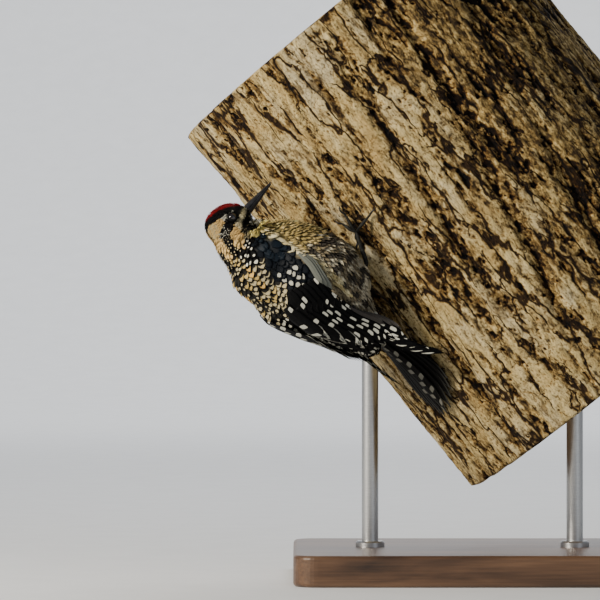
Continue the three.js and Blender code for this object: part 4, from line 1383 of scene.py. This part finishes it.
tail_finish = flight_vanes("stiff_tail_vanes", 0.55)
for side_name, side in SIDES.items():
    for rank in range(1, 6):
        top, under = tail_blade(side, rank)
        strength = (0.0, 0.2, 0.45) if rank == 1 else (0.0, 0.25, 0.0)
        blades_piece(
            f"tail_{side_name}_{rank}_vane", tail_finish, top, under,
            [(TAIL_LENGTH, TAIL_HALF_WIDTH)], (TAIL_BLACK, TAIL_GREY, strength),
            [f"tail_{side_name}_{rank}"],
        )

# ---- Bird: legs and feet -------------------------------------------------------------------------
# Bare greenish-grey legs and toes covered with fine scutes. Two toes reach up the trunk, one out
# to the side and a short one back, and each ends in a sharp curved claw.

FOOT_X = {1: 20.0, -1: -26.5}
FOOT_STATION = 52.0
FOOT_LIFT = 2.4
HEEL_SHARE = 0.9
HEEL_STATION = 69.5
HEEL_HEIGHT = 9.5
TARSUS_RADIUS = 1.35
TOE_RADIUS = 1.0
# Each toe: how far it turns outwards from straight up the trunk, its length and its claw's.
TOES = {
    "inner": (-28, 10.5, 6),
    "middle": (4, 13, 6.5),
    "outer": (78, 13.5, 6.5),
    "hind": (-138, 7.5, 5.5),
}
AXIS_X = -1000 * TRUNK_RADIUS * math.sin(CLING_TURN - BIRD_TURN)
AXIS_Z = -1000 * TRUNK_RADIUS * math.cos(CLING_TURN - BIRD_TURN)
SCUTE = 0.75


def bark_height(x):
    """How far out the trunk's surface is at a place across the bird."""
    return AXIS_Z + math.sqrt((1000 * TRUNK_RADIUS) ** 2 - (x - AXIS_X) ** 2)


def smooth_path(knots, count):
    """Points evenly along a smooth line through a few knots."""
    knots = np.array(knots, float)
    reach = np.concatenate([[0], np.cumsum(np.linalg.norm(np.diff(knots, axis=0), axis=1))])
    lines = [follow(np.stack([reach, knots[:, axis]], 1)) for axis in range(3)]
    at = np.linspace(0, reach[-1], count)
    return np.stack([line(at) for line in lines], 1)


def limb_points(knots, radius, rows, sides, scute=0.0):
    """Rings of a round limb along the knots, closed to a point at both ends."""
    path = smooth_path(knots, rows)
    lead = unit(np.gradient(path, axis=0))
    side = unit(np.cross(lead, (0, 0, 1.0)))
    rise = np.cross(side, lead)
    share = np.linspace(0, 1, rows)
    size = radius(share) * np.sin(np.pi * np.clip(share, 0.012, 0.988)) ** 0.3
    length = np.linalg.norm(np.diff(path, axis=0), axis=1).sum()
    ring = np.linspace(0, 2 * np.pi, sides, endpoint=False)
    ledge = scute * ((share * length / SCUTE) % 1.0)
    size = size[:, None] + ledge[:, None] * np.clip(np.sin(ring) + 0.3, 0, 1)
    return (path[:, None] + side[:, None] * (size * np.cos(ring))[..., None]
            + rise[:, None] * (size * np.sin(ring))[..., None])


def tubes_mesh(name, tubes):
    """One mesh of closed tubes, each a grid of rings with a fan at both ends."""
    points, faces, start = [], [], 0
    for rings in tubes:
        rows, sides = rings.shape[:2]
        points.append(rings.reshape(-1, 3))
        points.append(rings[[0, -1]].mean(1))
        grid = start + np.arange(rows * sides).reshape(rows, sides)
        ahead = np.roll(grid, -1, axis=1)
        faces += np.stack([grid[:-1], grid[1:], ahead[1:], ahead[:-1]], -1).reshape(-1, 4).tolist()
        end = start + rows * sides
        faces += [(end, grid[0, k], ahead[0, k]) for k in range(sides)]
        faces += [(end + 1, ahead[-1, k], grid[-1, k]) for k in range(sides)]
        start = end + 2
    form = bmesh.new()
    mesh = mesh_from(name, to_world(np.concatenate(points)), faces)
    form.from_mesh(mesh)
    bmesh.ops.recalc_face_normals(form, faces=form.faces)
    form.to_mesh(mesh)
    form.free()
    return smoothed(mesh)


def scaly_skin():
    material, tree, shader = finish("scaly_leg_skin", 0.6, Specular_IOR_Level=0.18)
    scale = node(tree, "TexVoronoi", {"Vector": position(tree), "Scale": 1500}).outputs["Distance"]
    tone = ramp(tree, cloud(tree, position(tree), 3, 500), [
        (0.3, (0.006, 0.006, 0.005)), (0.55, (0.015, 0.015, 0.013)), (0.75, (0.04, 0.041, 0.034)),
    ])
    seam = ramp(tree, scale, [(0.1, (1, 1, 1)), (0.6, (0.5, 0.48, 0.44))])
    tree.links.new(mixed(tree, 0.8, tone, seam, "MULTIPLY"), shader.inputs["Base Color"])
    bumped(tree, shader, scale, -0.00012, 0.7)
    return material


def horn(name, deep, light):
    material, tree, shader = finish(name, 0.38, Specular_IOR_Level=0.25)
    grain = cloud(tree, position(tree), 4, 420)
    tree.links.new(ramp(tree, grain, [(0.3, deep), (0.75, light)]), shader.inputs["Base Color"])
    bumped(tree, shader, grain, 0.00008, 0.5)
    return material


leg_skin = scaly_skin()
claw_horn = horn("dark_claw_horn", (0.006, 0.0055, 0.005), (0.025, 0.022, 0.02))
for side_name, side in SIDES.items():
    foot_x = FOOT_X[side]
    foot = np.array([foot_x, -FOOT_STATION, bark_height(foot_x) + FOOT_LIFT])
    heel = np.array([foot_x * HEEL_SHARE, -HEEL_STATION, bark_height(foot_x) + HEEL_HEIGHT])
    inner_end = heel + (-0.6 * side, -1.0, 6.0)

    def on_bark(turn, reach, height):
        x = foot[0] + math.sin(math.radians(turn) * side) * reach
        return x, foot[1] + math.cos(math.radians(turn)) * reach, bark_height(x) + height

    tubes = [limb_points(
        [inner_end, heel, (foot + heel) / 2, foot],
        lambda t: TARSUS_RADIUS * (1.15 - 0.22 * np.sin(np.pi * t)), 60, 16, 0.14,
    )]
    claws = []
    for turn, length, claw in TOES.values():
        path = [
            on_bark(turn, length * share, height)
            for share, height in ((-0.02, 2.3), (0.3, 2.9), (0.65, 2.1), (1.0, 1.75))
        ]
        tubes.append(limb_points(
            path, lambda t: TOE_RADIUS * (1.02 - 0.26 * t + 0.12 * np.cos(t * 4 * np.pi)), 54, 14, 0.12,
        ))
        hook = [
            on_bark(turn, length - 0.6 + claw * share, height)
            for share, height in ((0, 1.8), (0.3, 2.8), (0.62, 2.5), (0.86, 0.4))
        ]
        claws.append(limb_points(hook, lambda t: 0.98 - 0.88 * t ** 0.8, 22, 12))
    toe_names = [f"toe_{side_name}_{toe}" for toe in TOES]
    for piece, shapes, slot, material, replaced in (
        ("foot", tubes, "scaly_leg", leg_skin, [f"shank_{side_name}"] + toe_names),
        ("claws", claws, "claw", claw_horn, [f"claw_{side_name}_{toe}" for toe in TOES]),
    ):
        name = f"{piece}_{side_name}"
        add_piece(name, tubes_mesh(name, shapes), material, replaced)

# ---- Bird: bill ----------------------------------------------------------------------------------
# A straight, chisel-tipped bill of dark slate horn in two halves, with a ridge along the top and
# a fine line where the halves meet.

BILL_LENGTH = 22.5
BILL_DROP = -2.0
BILL_SINK = 2.5
BILL_ROWS = 46
BILL_SIDES = 22
LOWER_SHORTER = 0.9
# Half width and height at the face and at the tip.
BILL_HALF = (3.1, 0.75)
BILL_HIGH = (2.75, 0.55)


def bill_half(upper):
    """Rings of one half of the bill, from inside the face to the chisel tip."""
    length = BILL_LENGTH + BILL_SINK - (0 if upper else LOWER_SHORTER)
    reach = -BILL_SINK + length * np.linspace(0, 1, BILL_ROWS)
    t = np.clip(reach / BILL_LENGTH, 0, 1)[:, None]
    half = BILL_HALF[0] + (BILL_HALF[1] - BILL_HALF[0]) * t ** 0.85
    high = BILL_HIGH[0] + (BILL_HIGH[1] - BILL_HIGH[0]) * t ** 1.1
    turn = np.linspace(0, np.pi, BILL_SIDES // 2)
    arch = np.concatenate([np.cos(turn), np.cos(turn)[-2:0:-1] * 0.96])
    rise = np.concatenate([np.sin(turn) ** (0.8 if upper else 1.1), np.zeros(len(turn) - 2)])
    ridge = 0.16 * np.exp(-(arch / 0.16) ** 2) * (rise > 0.5) if upper else 0
    way = 1 if upper else -1
    middle = BILL_DROP + 0.4 * (1 - t) - 0.1
    x = half * arch
    z = middle + way * (0.05 + high * (rise + ridge))
    rings = np.stack([x, BILL_ROOT + reach[:, None] + 0 * x, z], -1)
    return from_head(rings.reshape(-1, 3)).reshape(rings.shape)


slate_horn = horn("slate_bill_horn", (0.006, 0.006, 0.007), (0.028, 0.028, 0.032))
for half_name, upper in (("bill_upper", True), ("bill_lower", False)):
    bill_mesh = tubes_mesh(half_name + "_horn", [bill_half(upper)])
    add_piece(half_name + "_horn", bill_mesh, slate_horn, [half_name])

# ---- Bird: eyes ----------------------------------------------------------------------------------
# Dark brown glass eyes with a black pupil, set in the head behind a rim of blackish lid.

EYE_RADIUS = 2.7
EYE_PLACE = (9.7, 0.3, 3.0)
LID_THICKNESS = 0.3
LID_SPAN = (47, 86)
EYE_ROWS = 30
EYE_SIDES = 40
LID_SIDES = 48
LID_ROWS = 7
IRIS_REACH = 2.4


def eye_glass():
    material, tree, shader = finish("dark_eye_glass", 0.06, Coat_Weight=1.0, Coat_Roughness=0.02)
    away = node(tree, "Attribute", attribute_name="Ground").outputs["Fac"]
    iris = ramp(tree, away, [
        (0.0, (0.003, 0.002, 0.002)), (0.5, (0.003, 0.002, 0.002)), (0.6, (0.012, 0.005, 0.003)),
        (1.0, (0.006, 0.003, 0.002)),
    ])
    tree.links.new(iris, shader.inputs["Base Color"])
    return material


def lid_skin():
    material, tree, shader = finish("lid_skin", 0.8, Specular_IOR_Level=0.1)
    pores = cloud(tree, position(tree), 2, 2500)
    tone = ramp(tree, pores, [(0.3, (0.002, 0.002, 0.002)), (0.7, (0.008, 0.008, 0.008))])
    tree.links.new(tone, shader.inputs["Base Color"])
    bumped(tree, shader, pores, 0.0001, 0.6)
    return material


glass, lid = eye_glass(), lid_skin()
for side_name, side in SIDES.items():
    centre = np.array(EYE_PLACE) * (side, 1, 1)
    out = unit(np.array([side * 0.96, 0.2, 0.2]))
    up = unit(np.cross(out, (0, 1.0, 0)))
    fore = np.cross(up, out)
    tilt = np.linspace(0, np.pi, EYE_ROWS + 2)[1:-1, None]
    ring = np.linspace(0, 2 * np.pi, EYE_SIDES, endpoint=False)[None]
    ball = centre + EYE_RADIUS * (
        np.cos(tilt)[..., None] * out + (np.sin(tilt) * np.cos(ring))[..., None] * up
        + (np.sin(tilt) * np.sin(ring))[..., None] * fore
    )
    eye_name = f"eye_{side_name}_glass"
    eye_mesh = tubes_mesh(eye_name, [from_head(ball.reshape(-1, 3)).reshape(ball.shape)])
    eye_points = to_head(to_bird(mesh_arrays(eye_mesh)[0]))
    away = np.linalg.norm(eye_points - (centre + out * EYE_RADIUS), axis=1)
    colour_layer(eye_mesh, "Ground", np.repeat(np.clip(away / IRIS_REACH, 0, 1)[:, None], 3, axis=1))
    add_piece(eye_name, eye_mesh, glass, [f"eye_{side_name}"])
    # the lid: a ring with an outer and an inner surface
    around = np.linspace(0, 2 * np.pi, LID_SIDES, endpoint=False)[:, None]
    span = np.radians(np.linspace(*LID_SPAN, LID_ROWS))
    tilts = np.concatenate([span, span[::-1]])[None]
    reach = EYE_RADIUS + np.repeat([LID_THICKNESS, -0.1], LID_ROWS)[None]
    spoke = np.cos(around)[..., None] * up + np.sin(around)[..., None] * fore
    rings = centre + (reach * np.cos(tilts))[..., None] * out
    rings = rings + (reach * np.sin(tilts))[..., None] * spoke
    grid = np.arange(rings[..., 0].size).reshape(rings.shape[:2])
    over, on = np.roll(grid, -1, axis=0), np.roll(grid, -1, axis=1)
    faces = np.stack([grid, over, np.roll(over, -1, axis=1), on], -1).reshape(-1, 4)
    lid_name = f"lid_{side_name}"
    lid_mesh = smoothed(mesh_from(lid_name, to_world(from_head(rings.reshape(-1, 3))), faces))
    add_piece(lid_name, lid_mesh, lid)

# ---- Stage, lights and camera --------------------------------------------------------------------
# A pale floor that curves up into a backdrop, soft light from the upper left with a weak fill
# from the right, and a long lens level with the bird.

FLOOR_REACH = 7.0
FLOOR_SIDE = 9.0
BACKDROP_BEND = 3.4
BACKDROP_HEIGHT = 4.5
BEND_STEPS = 16
floor_profile = [(-FLOOR_SIDE, 0.0), (FLOOR_REACH - BACKDROP_BEND, 0.0)]
for step in range(1, BEND_STEPS + 1):
    turn = math.pi / 2 * step / BEND_STEPS
    floor_profile.append((
        FLOOR_REACH - BACKDROP_BEND + BACKDROP_BEND * math.sin(turn),
        BACKDROP_BEND * (1 - math.cos(turn)),
    ))
floor_profile.append((FLOOR_REACH, BACKDROP_HEIGHT))
floor_points = [(x, y, z) for y, z in floor_profile for x in (-FLOOR_SIDE, FLOOR_SIDE)]
floor_faces = [(2 * k, 2 * k + 1, 2 * k + 3, 2 * k + 2) for k in range(len(floor_profile) - 1)]
floor_mesh = smoothed(mesh_from("studio_floor", floor_points, floor_faces))
floor = bpy.data.objects.new("studio_floor", floor_mesh)
bpy.context.scene.collection.objects.link(floor)
floor_material, floor_tree, floor_shader = finish("matt_paper", 0.9)
fibres = cloud(floor_tree, position(floor_tree), 3, 30)
paper = ramp(floor_tree, fibres, [(0.3, (0.72, 0.73, 0.74)), (0.7, (0.75, 0.76, 0.77))])
floor_tree.links.new(paper, floor_shader.inputs["Base Color"])
floor.data.materials.append(floor_material)


def soft_light(name, place, aim, size, power, colour):
    lamp = bpy.data.lights.new(name, "AREA")
    lamp.shape = "DISK"
    lamp.size = size
    lamp.energy = power
    lamp.color = colour
    holder = bpy.data.objects.new(name, lamp)
    holder.location = place
    holder.rotation_euler = (Vector(aim) - Vector(place)).to_track_quat("-Z", "Y").to_euler()
    bpy.context.scene.collection.objects.link(holder)


BIRD_MIDDLE = (-0.1, -0.1, 0.17)
soft_light("key", (-1.5, -1.05, 0.95), BIRD_MIDDLE, 0.3, 58, (1.0, 0.92, 0.79))
soft_light("fill", (1.3, -1.6, 0.7), BIRD_MIDDLE, 1.4, 4, (0.87, 0.93, 1.0))
soft_light("back", (0.2, 1.1, 1.5), BIRD_MIDDLE, 1.0, 14, (1.0, 1.0, 1.0))
soft_light("backdrop", (0, 2.6, 3.4), (0, FLOOR_REACH, 0.4), 1.6, 190, (1.0, 1.0, 1.0))

sky = bpy.data.worlds.new("studio")
sky.use_nodes = True
sky.node_tree.nodes["Background"].inputs["Color"].default_value = (0.8, 0.88, 1.0, 1)
sky.node_tree.nodes["Background"].inputs["Strength"].default_value = 0.26
bpy.context.scene.world = sky

CAMERA_AIM = Vector((-0.1011, -0.095, 0.1627))
CAMERA_REACH = 2.5
FRAME_WIDTH = 0.339
SENSOR_WIDTH = 36.0
lens = bpy.data.cameras.new("camera")
lens.sensor_width = SENSOR_WIDTH
lens.lens = SENSOR_WIDTH * CAMERA_REACH / FRAME_WIDTH
camera = bpy.data.objects.new("camera", lens)
camera.location = CAMERA_AIM + NEAR_SIDE * CAMERA_REACH
camera.rotation_euler = (math.pi / 2, 0, 0)
bpy.context.scene.collection.objects.link(camera)
bpy.context.scene.camera = camera
